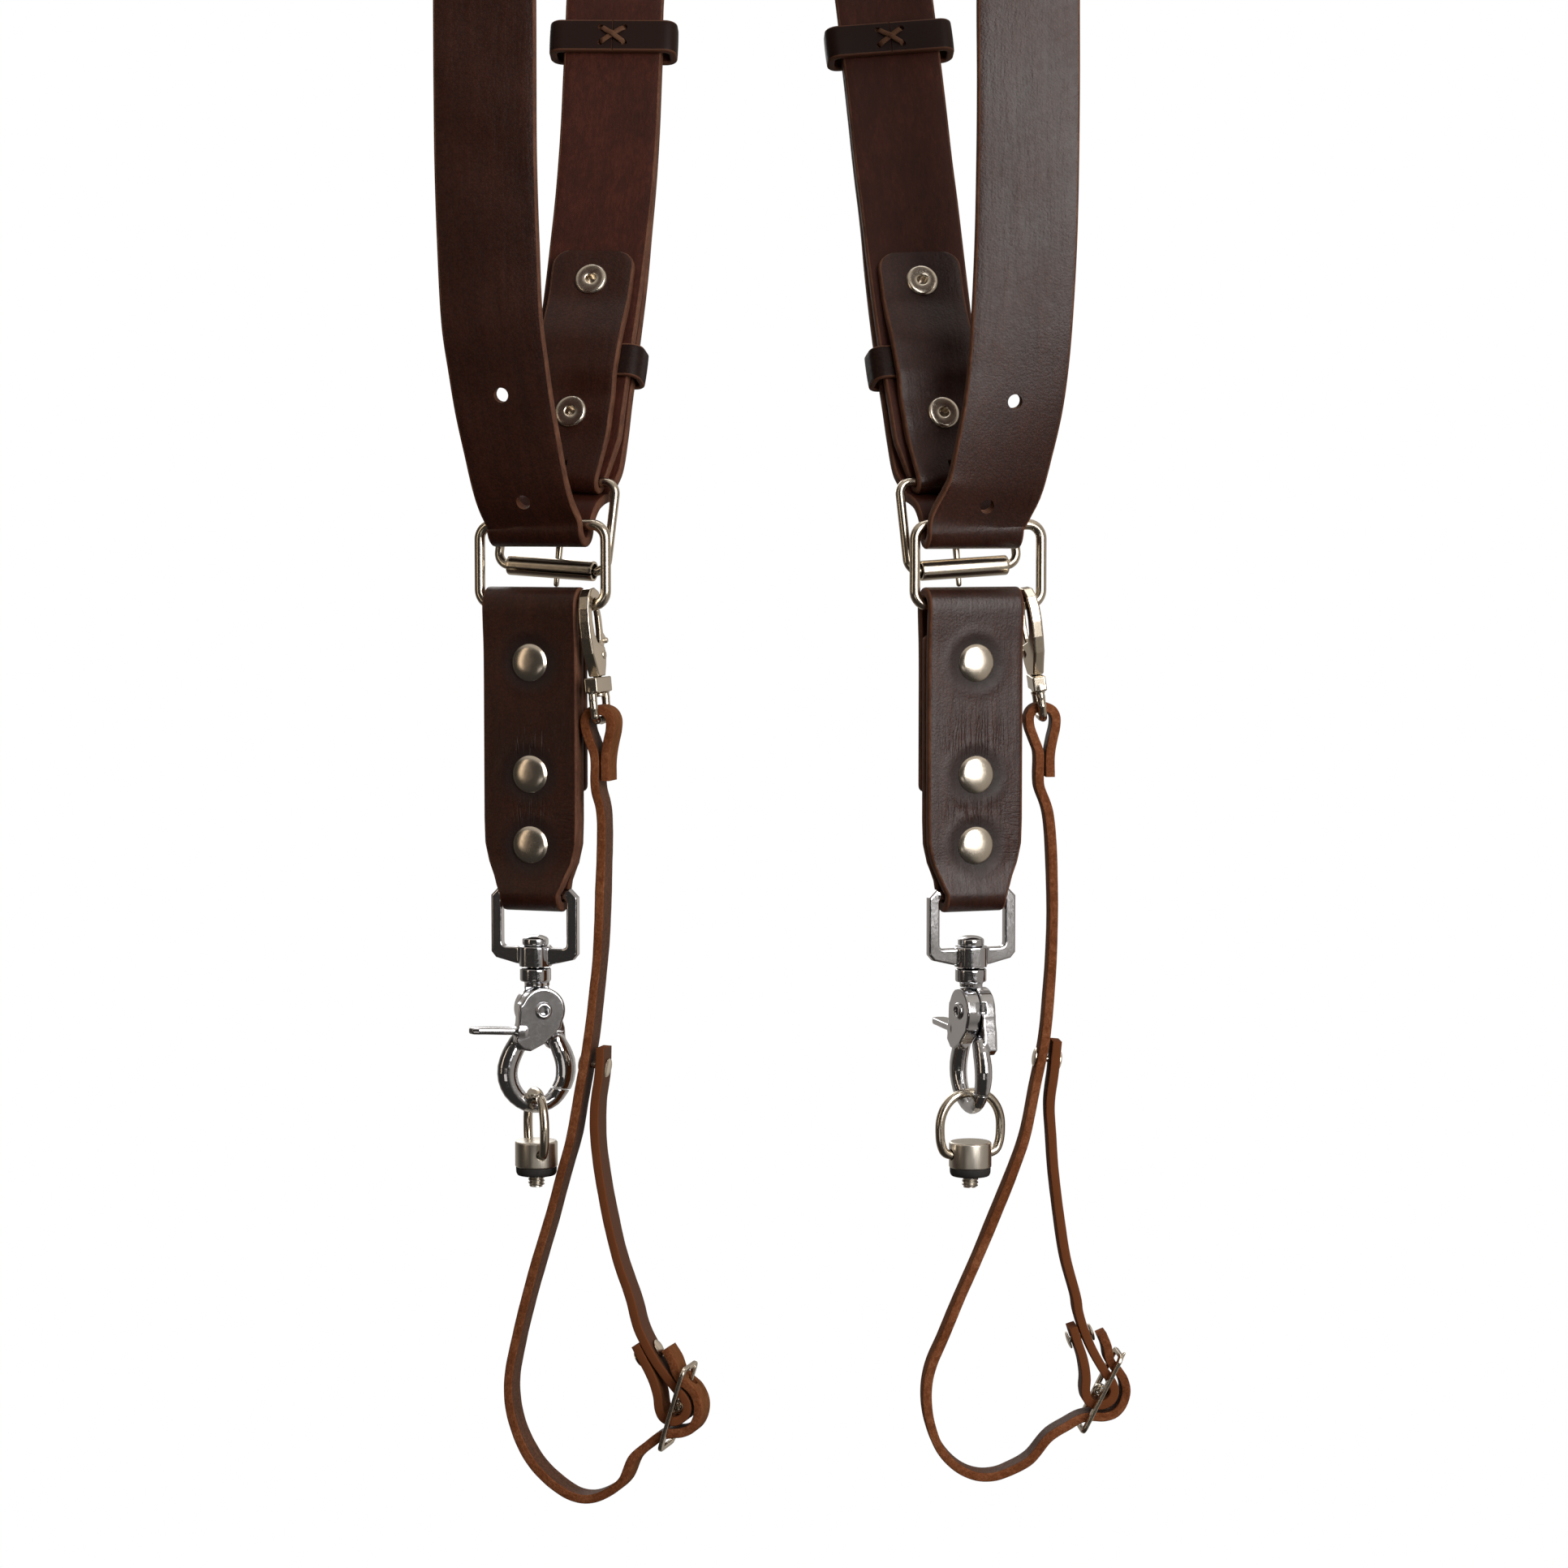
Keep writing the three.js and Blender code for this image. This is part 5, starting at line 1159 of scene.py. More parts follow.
M_THREAD = fibre("waxed_thread", (0.035, 0.018, 0.011), (0.075, 0.040, 0.024), (0.13, 0.075, 0.047), strap=False, scale=1.2, bump=0.0001, rough=(0.5, 0.7), spec=0.4)
rr = round_rect(58 - 7.0, 58 - 7.0, 5.4, 40)
seg_ = np.r_[0, np.cumsum(np.linalg.norm(np.diff(np.vstack([rr, rr[:1]]), axis=0), axis=1))]
kk = np.linspace(0, seg_[-1], 49)
rp = np.stack([np.interp(kk, seg_, np.r_[rr[:, i], rr[0, i]]) for i in (0, 1)], 1)
ob = make("patch_stitches", stitch_row([V(0, PATCH_Y, CROSS[2]) + px * a + py * b for a, b in rp], EY, 2.3), [M_THREAD])
piece(ob, "harness", "strap_leather", "back_patch")


# -------------------------------------------------------------------- rivets
def dome(R, h, d, seat=0.12):
    """Profile of a domed cap from the axis out to its seat at height d."""
    r = np.linspace(0, 1, 11)
    return [(R * a, d + 0.35 + (h - 0.35) * (1 - a ** 2.6) ** 0.62) for a in r] + [(R * 1.0, d + 0.12), (R - 0.25, d - seat)]


def rivet(o, axis, d0, d1, rc, hc, rb, hb, shaft=2.0, washer=False, seg=56):
    if washer:
        front = [(0, -d0 + 3.6), (1.75, -d0 + 3.4), (1.85, -d0 - hc + 0.55), (2.25, -d0 - hc + 0.15), (3.2, -d0 - hc + 0.02), (4.6, -d0 - hc - 0.05), (5.6, -d0 - hc + 0.10), (rc, -d0 - 0.30), (rc - 0.2, -d0 + 0.1)]
        front = [(0, -d0 + 3.6)] + [tuple(q) for q in rounded(front[1:], 0.25)]
    else:
        front = [(r, -h) for r, h in dome(rc, hc, d0)]
    back = [(r, h) for r, h in dome(rb, hb, d1)][::-1]
    return lathe(front + [(shaft, -d0 + (1.2 if washer else -0.1)), (shaft, d1 - 0.1)] + back, o, axis, seg)


ob = make("crossing_rivet", [rivet(V(0, 92, CROSS[2]), EY, 4.45, PATCH_Y + 2.4 - 92, 5.5, 1.7, 6.3, 2.1, 2.2)], [M_RIVET], sharp=40)
piece(ob, "harness", "rivet_nickel", "back_rivet")


def wire_path(poly, step=1.6):
    p = np.asarray(poly, float)
    out = []
    for i in range(len(p)):
        a, b = p[i], p[(i + 1) % len(p)]
        n = max(1, int(np.linalg.norm(b - a) / step))
        out += [a + (b - a) * j / n for j in range(n)]
    return np.array(out)


def loop_tube(poly2, o, x, y, n, r, radial=22, squash=1.0):
    """Closed loop of round wire through 2-D points, in the plane (x, y) with normal n."""
    q = wire_path(poly2)
    P = o + x * q[:, 0:1] + y * q[:, 1:2]
    T = unit(np.roll(P, -1, 0) - np.roll(P, 1, 0))
    out = np.cross(T, n)
    return sweep(P, out, np.repeat(n[None], len(P), 0), ring_pts(r, radial, squash), closed=True)


def tube(P, r, up, radial=20, ends=True, step=0.7):
    """Open round wire along points, radius r per point, rounded ends."""
    P = np.asarray(P, float)
    r = np.broadcast_to(np.asarray(r, float), (len(P),)).copy()
    D, pos = catmull(P, step)
    rr_ = np.interp(pos, np.arange(len(P)), r)
    T = unit(np.gradient(D, axis=0))
    if ends:
        for i, sg in ((0, -1), (-1, 1)):
            R = rr_[i]
            cap = [(D[i] + T[i] * sg * R * math.sin(a * RAD), R * math.cos(a * RAD)) for a in (25, 50, 75, 88)]
            cp, cr_ = np.array([c[0] for c in cap]), np.array([c[1] for c in cap])
            if sg > 0:
                D, rr_, T = np.vstack([D, cp]), np.r_[rr_, cr_], np.vstack([T, np.repeat(T[-1:], 4, 0)])
            else:
                D, rr_, T = np.vstack([cp[::-1], D]), np.r_[cr_[::-1], rr_], np.vstack([np.repeat(T[:1], 4, 0), T])
    A = np.asarray(up, float)
    A = unit(A - T * (T @ A)[:, None])
    B = np.cross(T, A)
    return sweep(D, A, B, ring_pts(1.0, radial)[None] * rr_[:, None, None])


for name in ("left", "right"):
    S = side[name]
    for l, tag in ((RIVET_LOW, "lower"), (RIVET_HIGH, "upper")):
        f = base_at(S, l)
        d = table(FOLD_OFF, l) + STRAP_T / 2
        ob = make("fold_rivet_%s_%s" % (tag, name), [rivet(f["p"], f["N"], d, STRAP_T / 2, 6.2, 1.1, 6.0, 1.5, 2.2, washer=True)], [M_RIVET], sharp=40)
        piece(ob, "harness", "rivet_nickel", "strap_rivet_%s_%s" % (tag, name))
    # keepers: leather loops, the upper one laced shut on the viewer's side
    for l, tag, inner, outer, th in ((KEEPER_LOW, "lower", -2.35, 8.55, 2.2), (KEEPER_HIGH, "upper", -2.3, 6.25, 3.0)):
        f = base_at(S, l)
        h, c = outer - inner, (outer + inner) / 2
        Wd = STRAP_W + 4.2 + (1.6 if tag == "upper" else 0)
        Z3 = np.cross(f["W"], f["N"])
        q = wire_path(round_rect(Wd + th, h + th, min(5 - th / 2, h / 2 + th / 2 - 0.2), 9), 1.5)
        o = f["p"] + f["N"] * c
        P = o + f["W"] * q[:, 0:1] + f["N"] * q[:, 1:2]
        T = unit(np.roll(P, -1, 0) - np.roll(P, 1, 0))
        out = np.cross(T, Z3)
        if np.einsum("ij,ij->i", out, P - o).mean() < 0:
            out = -out
        sec, col = strap_section(13.0, th, min(0.7, th * 0.3), 8)
        u = q[:, 0] / Wd * 2
        secs = np.repeat(sec[None], len(q), 0)
        ss = np.r_[0, np.cumsum(np.linalg.norm(np.diff(P, axis=0), axis=1))]
        secs[..., 1] -= 0.16 * (secs[..., 0] / 6.5) ** 2 * np.where(secs[..., 1] > 0, 1, 0)
        part = sweep(P, np.repeat(Z3[None], len(P), 0), out, secs, closed=True, col=col, s=ss + 700 * (1 + (tag == "upper")))
        ob = make("keeper_%s_%s" % (tag, name), [part], KEEPER_MATS, attr=True)
        node = "keeper_%s_%s" % (tag, name)
        body = "harness" if tag == "lower" else "keeper_" + name
        if tag == "upper":
            face = f["p"] + f["N"] * (inner - th)       # the side that faces the viewer
            X1, N1 = f["W"], -f["N"]
            holes = [(-4.6, -3.2), (4.6, -3.2), (4.6, 3.2), (-4.6, 3.2)]
            for a, b in holes:
                hp = face + X1 * a + Z3 * b
                cut(ob, [cyl(1.15, hp - N1 * 1.6, hp + N1 * 2, 18, fm=1)], KEEPER_MATS)
            seam = face - N1 * 0.1
            cut(ob, [block(seam, [0.5, 1.2, 14.5], X1, N1, Z3, fm=1)], KEEPER_MATS)
            laces = []
            for k_, (a, b) in enumerate(((holes[0], holes[2]), (holes[1], holes[3]))):
                t = np.linspace(0, 1, 15)
                hgt = 0.30 + (0.45 + 0.9 * k_ * np.exp(-((t - 0.5) / 0.13) ** 2)) * np.sin(np.clip(t, 0, 1) * math.pi) ** 0.5 - 1.3 * (np.exp(-(t / 0.05) ** 2) + np.exp(-((1 - t) / 0.05) ** 2))
                LP = face + X1 * (a[0] + (b[0] - a[0]) * t)[:, None] + Z3 * (a[1] + (b[1] - a[1]) * t)[:, None] + N1 * hgt[:, None]
                u_ = unit(X1 * (b[0] - a[0]) + Z3 * (b[1] - a[1]))
                sec2 = np.array([(1.05 * math.cos(w_), 0.42 * math.sin(w_)) for w_ in np.arange(14) / 14 * 2 * math.pi])
                laces.append(sweep(LP, np.repeat(np.cross(N1, u_)[None], 15, 0), np.repeat(N1[None], 15, 0), sec2))
            lo = make("keeper_lace_" + name, laces, [M_LACE], attr=True)
            piece(lo, body, "tether_leather", node)
        piece(ob, body, "strap_leather", node)
    # buckle: bent wire frame, rolled sheet roller, prong
    mid = (S["H"] + S["R"]) / 2
    nrm = unit(np.cross(S["hW"], S["D"]))
    ob = make("buckle_" + name, [loop_tube(round_rect(BUCKLE_W, S["span"], BUCKLE_R, 10), mid, S["hW"], S["D"], nrm, BUCKLE_WIRE)], [M_NICKEL])
    piece(ob, "buckle_" + name, "warm_nickel", "buckle_frame_" + name)
    rl = ROLLER_L / 2
    e1, e2 = unit(S["y"] - S["hW"] * S["y"].dot(S["hW"])), None
    e2 = np.cross(S["hW"], e1)
    slit = (200 if name == "left" else 118) * RAD
    xs = [-rl, -rl + 0.12, -rl + 0.4, -rl + 1.2, -8, 0, 8, rl - 1.2, rl - 0.4, rl - 0.12, rl]
    ro = [3.45, 3.66, 3.74, 3.75, 3.75, 3.75, 3.75, 3.75, 3.74, 3.66, 3.45]
    secs = []
    for R_ in ro:
        a = slit + np.linspace(3.2, 356.8, 64) * RAD
        outer_ = np.stack([np.cos(a) * R_, np.sin(a) * R_], 1)
        outer_[0] = (outer_[0] + outer_[1]) / 2 * 0.985
        outer_[-1] = (outer_[-1] + outer_[-2]) / 2 * 0.985
        a2 = slit + np.linspace(355.5, 4.5, 48) * RAD
        secs.append(np.vstack([outer_, np.stack([np.cos(a2), np.sin(a2)], 1) * 2.85]))
    part = sweep(S["R"] + S["hW"] * np.array(xs)[:, None], np.repeat(e1[None], len(xs), 0), np.repeat(e2[None], len(xs), 0), np.array(secs))
    # end faces are rings, not discs: drop the fans and bridge outer to inner arc
    v_, f_, _, c_ = part
    K_ = 112
    nf = len(f_) - 2 * K_
    f_ = f_[:nf]
    for b0_ in (0, (len(xs) - 1) * K_):
        io = np.arange(64)
        ii = 64 + np.round(np.linspace(47, 0, 64)).astype(int)
        for j in range(63):
            q_ = [b0_ + io[j], b0_ + io[j + 1], b0_ + ii[j + 1], b0_ + ii[j]]
            q_ = list(dict.fromkeys(int(x) for x in q_))
            if len(q_) > 2:
                f_.append(tuple(q_))
    v_ = v_[:-2]
    ob = make("roller_" + name, [(v_, f_, None, None)], [M_NICKEL], sharp=40)
    piece(ob, "roller_" + name, "warm_nickel", "buckle_roller_" + name)
    n_, D_ = S["n"], S["D"]
    arc = [S["H"] + 3.0 * (n_ * math.cos(a * RAD) - D_ * math.sin(a * RAD)) for a in range(296, -1, -8)]
    PB = S["prongB"]
    k = np.linspace(0, 1, 14)[1:]
    PA = arc[-1]
    shank = [PA + (PB - PA) * q for q in k]
    P = np.array(arc + shank)
    m_ = len(arc)
    hw = np.r_[np.full(m_, 1.95), 1.95 - 0.65 * np.clip(k * 4, 0, 1) - 0.35 * np.clip((k - 0.6) / 0.4, 0, 1)]
    ht = np.r_[np.full(m_, 0.86), 0.86 + 0.44 * np.clip(k * 3, 0, 1) - 0.35 * np.clip((k - 0.6) / 0.4, 0, 1)]
    T = unit(np.gradient(P, axis=0))
    ext = [P[-1] + T[-1] * 0.9 * math.sin(a * RAD) for a in (30, 60, 85)]
    sc = [math.cos(a * RAD) for a in (30, 60, 85)]
    P, T = np.vstack([P, ext]), np.vstack([T, np.repeat(T[-1:], 3, 0)])
    hw, ht = np.r_[hw, hw[-1] * np.array(sc)], np.r_[ht, ht[-1] * np.array(sc)]
    A_ = np.repeat(S["hW"][None], len(P), 0)
    B_ = np.cross(T, A_)
    ring0 = ring_pts(1, 20)
    p_ = 2.6
    ring0 = np.sign(ring0) * np.abs(ring0) ** (2 / p_)
    ob = make("prong_" + name, [sweep(P, A_, B_, ring0[None] * np.stack([hw, ht], 1)[:, None])], [M_NICKEL])
    piece(ob, "prong_" + name, "warm_nickel", "buckle_prong_" + name)


# ------------------------------------------------ hanging parts, in local axes
def seam_box():
    s2 = V(0.199, 0, 0.98)
    return [V(0.98, 0, -0.199), V(0, 1, 0), s2], V(9.6, 0, -30.4)


h_fine = 0.32
TOP = -137.9 + EYE_T / 2
BOT = TOP - EYE_H
BAR_T, BAR_B = -157.8, -165.8
HOOK_DZ = -677.4 - RING_Z
ZT, ZB = BAR_T - HOOK_DZ, BAR_B - HOOK_DZ
PIN = 1.5


def f_eye(p):
    x, y, z = p.T
    out = [(-17.5, TOP - 3), (-17.5, BOT + 4.2), (-15.6, BOT + 2.0), (-7.2, BOT), (7.2, BOT), (15.6, BOT + 2.0), (17.5, BOT + 4.2), (17.5, TOP - 3), (14.5, TOP), (-14.5, TOP)]
    d = sd_poly(x, z, out)
    hole = sd_poly(x, z, round_rect(26.4, TOP - EYE_T - BOT - 6.3, 1.6, 4, 0, (TOP - EYE_T + BOT + 6.3) / 2))
    a = sd_plate(smax(d, -hole, 0.7), y, -1.8, 1.8, 0.75)
    # the top bar is round, so that the leather turns easily on it
    a = smin(a, sd_cyl(p, (-13.5, 0, TOP - 1.9), (13.5, 0, TOP - 1.9), 1.88, 0.2), 0.5)
    b = sd_cyl(p, (0, 0, BAR_B), (0, 0, BAR_T), 6.35, 0.5)
    facet = np.max(np.stack([np.abs(x) * 0.92 + np.abs(y) * 0.39, np.abs(y)], 1), axis=1) - 6.0
    a = smin(a, smax(b, facet, 0.3), 0.9)
    return smax(a, -sd_cyl(p, (0, 0, BAR_B - 3), (0, 0, BAR_T + 5), 3.35), 0.3)


def f_jaw_tube(p, pts, rad_):
    q = p * V(1, 1.22, 1)
    fine, pos = catmull(np.array([V(a, 0, b) for a, b in pts]), 1.8)
    return sd_tube(q, fine, np.interp(pos, np.arange(len(pts)), rad_), 0.02)


def f_body(p):
    x, y, z = p.T
    # swivel post with its domed head, neck, collar and the root above the plates
    a = sd_cyl(p, (0, 0, ZT + 0.05), (0, 0, ZT + 4.1), 4.9, 0.9)
    a = smax(a, np.linalg.norm((p - V(0, 0, ZT - 4.0)) * V(1, 1, 1), axis=1) - 8.35, 0.5)
    a = np.minimum(a, sd_cyl(p, (0, 0, ZB - 2), (0, 0, ZT + 2), 2.95))
    a = np.minimum(a, sd_cyl(p, (0, 0, ZB - 5.3), (0, 0, ZB - 0.3), 5.85, 0.7))
    a = smin(a, sd_cyl(p, (0, 0, 5.0), (0, 0, ZB - 3.0), 4.15, 0.3), 1.1)
    a = smin(a, sd_box(p, (3.9, 0.6, 10.2), (2.6, 4.2, 5.6), 0.8), 0.8)
    disc_ = np.hypot(x - PIN, z) - 8.6
    lug = sd_poly(x, z, [(9.7, -1.5), (11.5, -7.5), (11.9, -14.2), (9.4, -16.2), (5.4, -15.2), (0, -8), (2, 0)])
    a = smin(a, sd_plate(smin(disc_, lug, 2.2), y, 0.15, 5.75, 0.7), 0.8)
    a = smax(a, -sd_box(p, (PIN, -2.85, 0), (20, 6.0, 17.6)), 0.25)
    jaw = f_jaw_tube(p, [(8.2, -12.4), (9.9, -16), (11.3, -20), (11.6, -24), (10.7, -28.4), (8.2, -32.4)], [3.3, 3.7, 3.85, 3.8, 3.5, 3.2])
    axes, c = seam_box()
    jaw = smax(jaw, -sd_box(p, c + axes[2] * -4.8, (13, 13, 10), 0, axes), 0.35)
    # free end cut slantwise under the front plate
    u = unit(V(-0.62, 0, 0.78))
    jaw = smax(jaw, (p - V(6.4, 0, -12.6)) @ u - 2.2, 0.4)
    a = smin(a, jaw, 0.5)
    a = smax(a, -sd_cyl(p, (PIN, -9, 0), (PIN, 9, 0), 2.3), 0.2)
    return smax(a, -sd_box(p, (PIN + 8.7, 0.4, 1.6), (2.6, 3.0, 4.2), 0.3), 0.25)


def f_trigger(p):
    x, y, z = p.T
    disc_ = np.hypot(x - PIN, z) - 8.6
    low = sd_poly(x, z, [(-7.0, 2), (-8.2, -5), (-9.4, -11.8), (-6.4, -14.6), (-3.4, -15.2), (2.3, -12.4), (8.2, -6.4), (4, 0)])
    a = sd_plate(smin(disc_, low, 2.4), y, -5.75, -0.15, 0.75)
    arm = f_jaw_tube(p, [(-6.4, -11.6), (-9.2, -16.6), (-10.9, -21.5), (-10.9, -26), (-9.2, -30.4), (-5.8, -34.2), (-1.5, -36.3), (2.8, -36.0), (6.8, -33.9), (10.7, -28.4)], [3.6, 3.85, 3.9, 3.8, 3.6, 3.2, 2.9, 2.9, 3.1, 3.5])
    axes, c = seam_box()
    arm = smax(arm, -sd_box(p, c + axes[2] * 4.8, (12, 13, 10), 0, axes), 0.35)
    a = smin(a, arm, 0.9)
    # lever: a flat tongue with a rounded tip
    lev = sd_poly(x, y, [(-5.6, -5.5), (-14, -5.6), (-23.2, -5.3), (-25.4, -4.4), (-26.3, -2.1), (-25.4, 0.4), (-23.2, 1.3), (-14, 1.4), (-9.9, 1.2), (-9.7, -0.4), (-5.6, -0.4)])
    zc = -7.2 + 0.35 * np.cos(np.clip((x + 26) / 20, 0, 1) * math.pi)
    lev = sd_plate(lev, z - zc, -1.25, 1.25, 0.85)
    a = smin(a, lev, 1.3)
    a = smax(a, -sd_box(p, (0, 2.85, 0), (18.8, 6.0, 20)), 0.25)
    a = smax(a, -sd_cyl(p, (PIN, -9, 0), (PIN, 9, 0), 2.3), 0.2)
    return smax(a, -sd_box(p, (PIN + 8.7, -0.4, 1.6), (2.6, 3.0, 4.2), 0.3), 0.25)


CLAW = [(6.4, -0.4), (6.1, 2.8), (4.1, 6.1), (0.5, 7.6), (-3.2, 7.1), (-6.2, 4.3), (-7.8, 0), (-8.3, -5), (-7.9, -11), (-6.8, -17), (-4.6, -22), (-3.2, -25.4), (3.2, -25.4), (4.9, -21.5), (5.9, -17.6), (5.0, -14.6), (1.6, -13.4),
        (-1.2, -12.6), (-3.4, -9.4), (-4.2, -4.6), (-3.9, 0), (-2.5, 2.8), (0.1, 3.7), (2.4, 2.7), (3.5, 0.6), (3.6, -0.4)]
GATE = [(3.7, -0.8), (6.3, -0.8), (7.0, -4), (7.3, -9.2), (9.6, -11.2), (9.5, -13.2), (7.4, -13.6), (6.4, -17), (5.4, -19.2), (3.3, -20.1), (1.2, -19.2), (0.7, -17), (2.2, -14.4), (3.9, -12), (4.4, -8), (4.2, -3)]
PV = (3.3, -17.6)


def f_clasp(p):
    x, y, z = p.T
    a = sd_plate(sd_poly(y, z, CLAW), x, -2.2, 2.2, 0.75)
    slot = sd_plate(sd_poly(y, z, [(0.2, -11.5), (12, -11.5), (12, -20.6), (0.2, -20.6)]), x, -1.3, 1.3, 0.05)
    a = smax(a, -slot, 0.2)
    a = np.minimum(a, sd_cyl(p, (-2.75, PV[0], PV[1]), (2.75, PV[0], PV[1]), 0.9, 0.0))
    for s_ in (-1, 1):
        a = smin(a, sd_cyl(p, (s_ * 2.0, PV[0], PV[1]), (s_ * 2.6, PV[0], PV[1]), 1.55, 0.25), 0.2)
    a = smin(a, sd_cyl(p, (0, 0, -31.8), (0, 0, -24.3), 1.5), 0.5)
    return smin(a, sd_cyl(p, (0, 0, -33.0), (0, 0, -31.6), 2.65, 0.4), 0.3)


def f_lever(p):
    x, y, z = p.T
    a = sd_plate(sd_poly(y, z, GATE), x, -1.0, 1.0, 0.45)
    nub = sd_cyl(p, (-1.9, 8.6, -12.3), (1.9, 8.6, -12.3), 1.05, 0.5)
    a = smin(a, nub, 0.5)
    return smax(a, -(np.hypot(y - PV[0], z - PV[1]) - 1.2), 0.1)


def f_swivel(p):
    x, y, z = p.T
    a = sd_box(p, (0, 0, -28.5), (5, 17.6, 5.6), 0.55)
    ring_ = sd_tube(p, [V(0, q, w) for q, w in [(-7.2, -30), (-7.4, -33.5), (-7.3, -37), (-6.6, -40), (-5.0, -41.5), (0, -41.75), (5.0, -41.5), (6.6, -40), (7.3, -37), (7.4, -33.5), (7.2, -30)]], [1.5] * 11, 0.3)
    a = smin(a, ring_, 0.7)
    return smax(a, -sd_cyl(p, (0, 0, -19), (0, 0, -31.45), 1.85), 0.2)


EYE = surface(f_eye, (-17.6, -6.6, BOT - 0.2), (17.6, 6.6, TOP + 0.1), h_fine)
BODY = surface(f_body, (-8, -6.2, -35), (15.8, 6.6, ZT + 4.6), h_fine)
TRIGGER = surface(f_trigger, (-26.8, -6.2, -39.6), (14.5, 3.6, 9), h_fine)
h_clasp = 0.24
CLASP = surface(f_clasp, (-2.9, -8.6, -33.2), (2.9, 6.7, 7.8), h_clasp)
LEVER = surface(f_lever, (-2, 0.4, -20.4), (2, 10, -0.5), h_clasp)
SWIVEL = surface(f_swivel, (-2.7, -9.2, -43.4), (2.7, 9.2, -25.5), h_clasp)


def thread(r, depth, pitch, z0, z1, seg=40):
    """Threaded stud hanging from z0 down to z1."""
    zs = np.arange(z1, z0 + 1e-6, pitch / 14)
    v, f = [], []
    a = np.arange(seg) / seg
    for z in zs:
        ph = (z / pitch - a) % 1
        tri = np.clip(np.abs(ph - 0.5) * 2.6 - 0.3, 0, 1)
        end = np.clip((z - z1) / 0.9, 0, 1)
        rr_ = (r - depth * tri) * (0.80 + 0.20 * end)
        v += [(q * math.sin(t * 2 * math.pi), q * math.cos(t * 2 * math.pi), z) for q, t in zip(rr_, a)]
    m = len(zs)
    for i in range(m - 1):
        for j in range(seg):
            k = (j + 1) % seg
            f.append((i * seg + j, i * seg + k, (i + 1) * seg + k, (i + 1) * seg + j))
    f.append(tuple(range(seg)))
    f.append(tuple((m - 1) * seg + j for j in range(seg)))
    return np.array(v), f, None, None


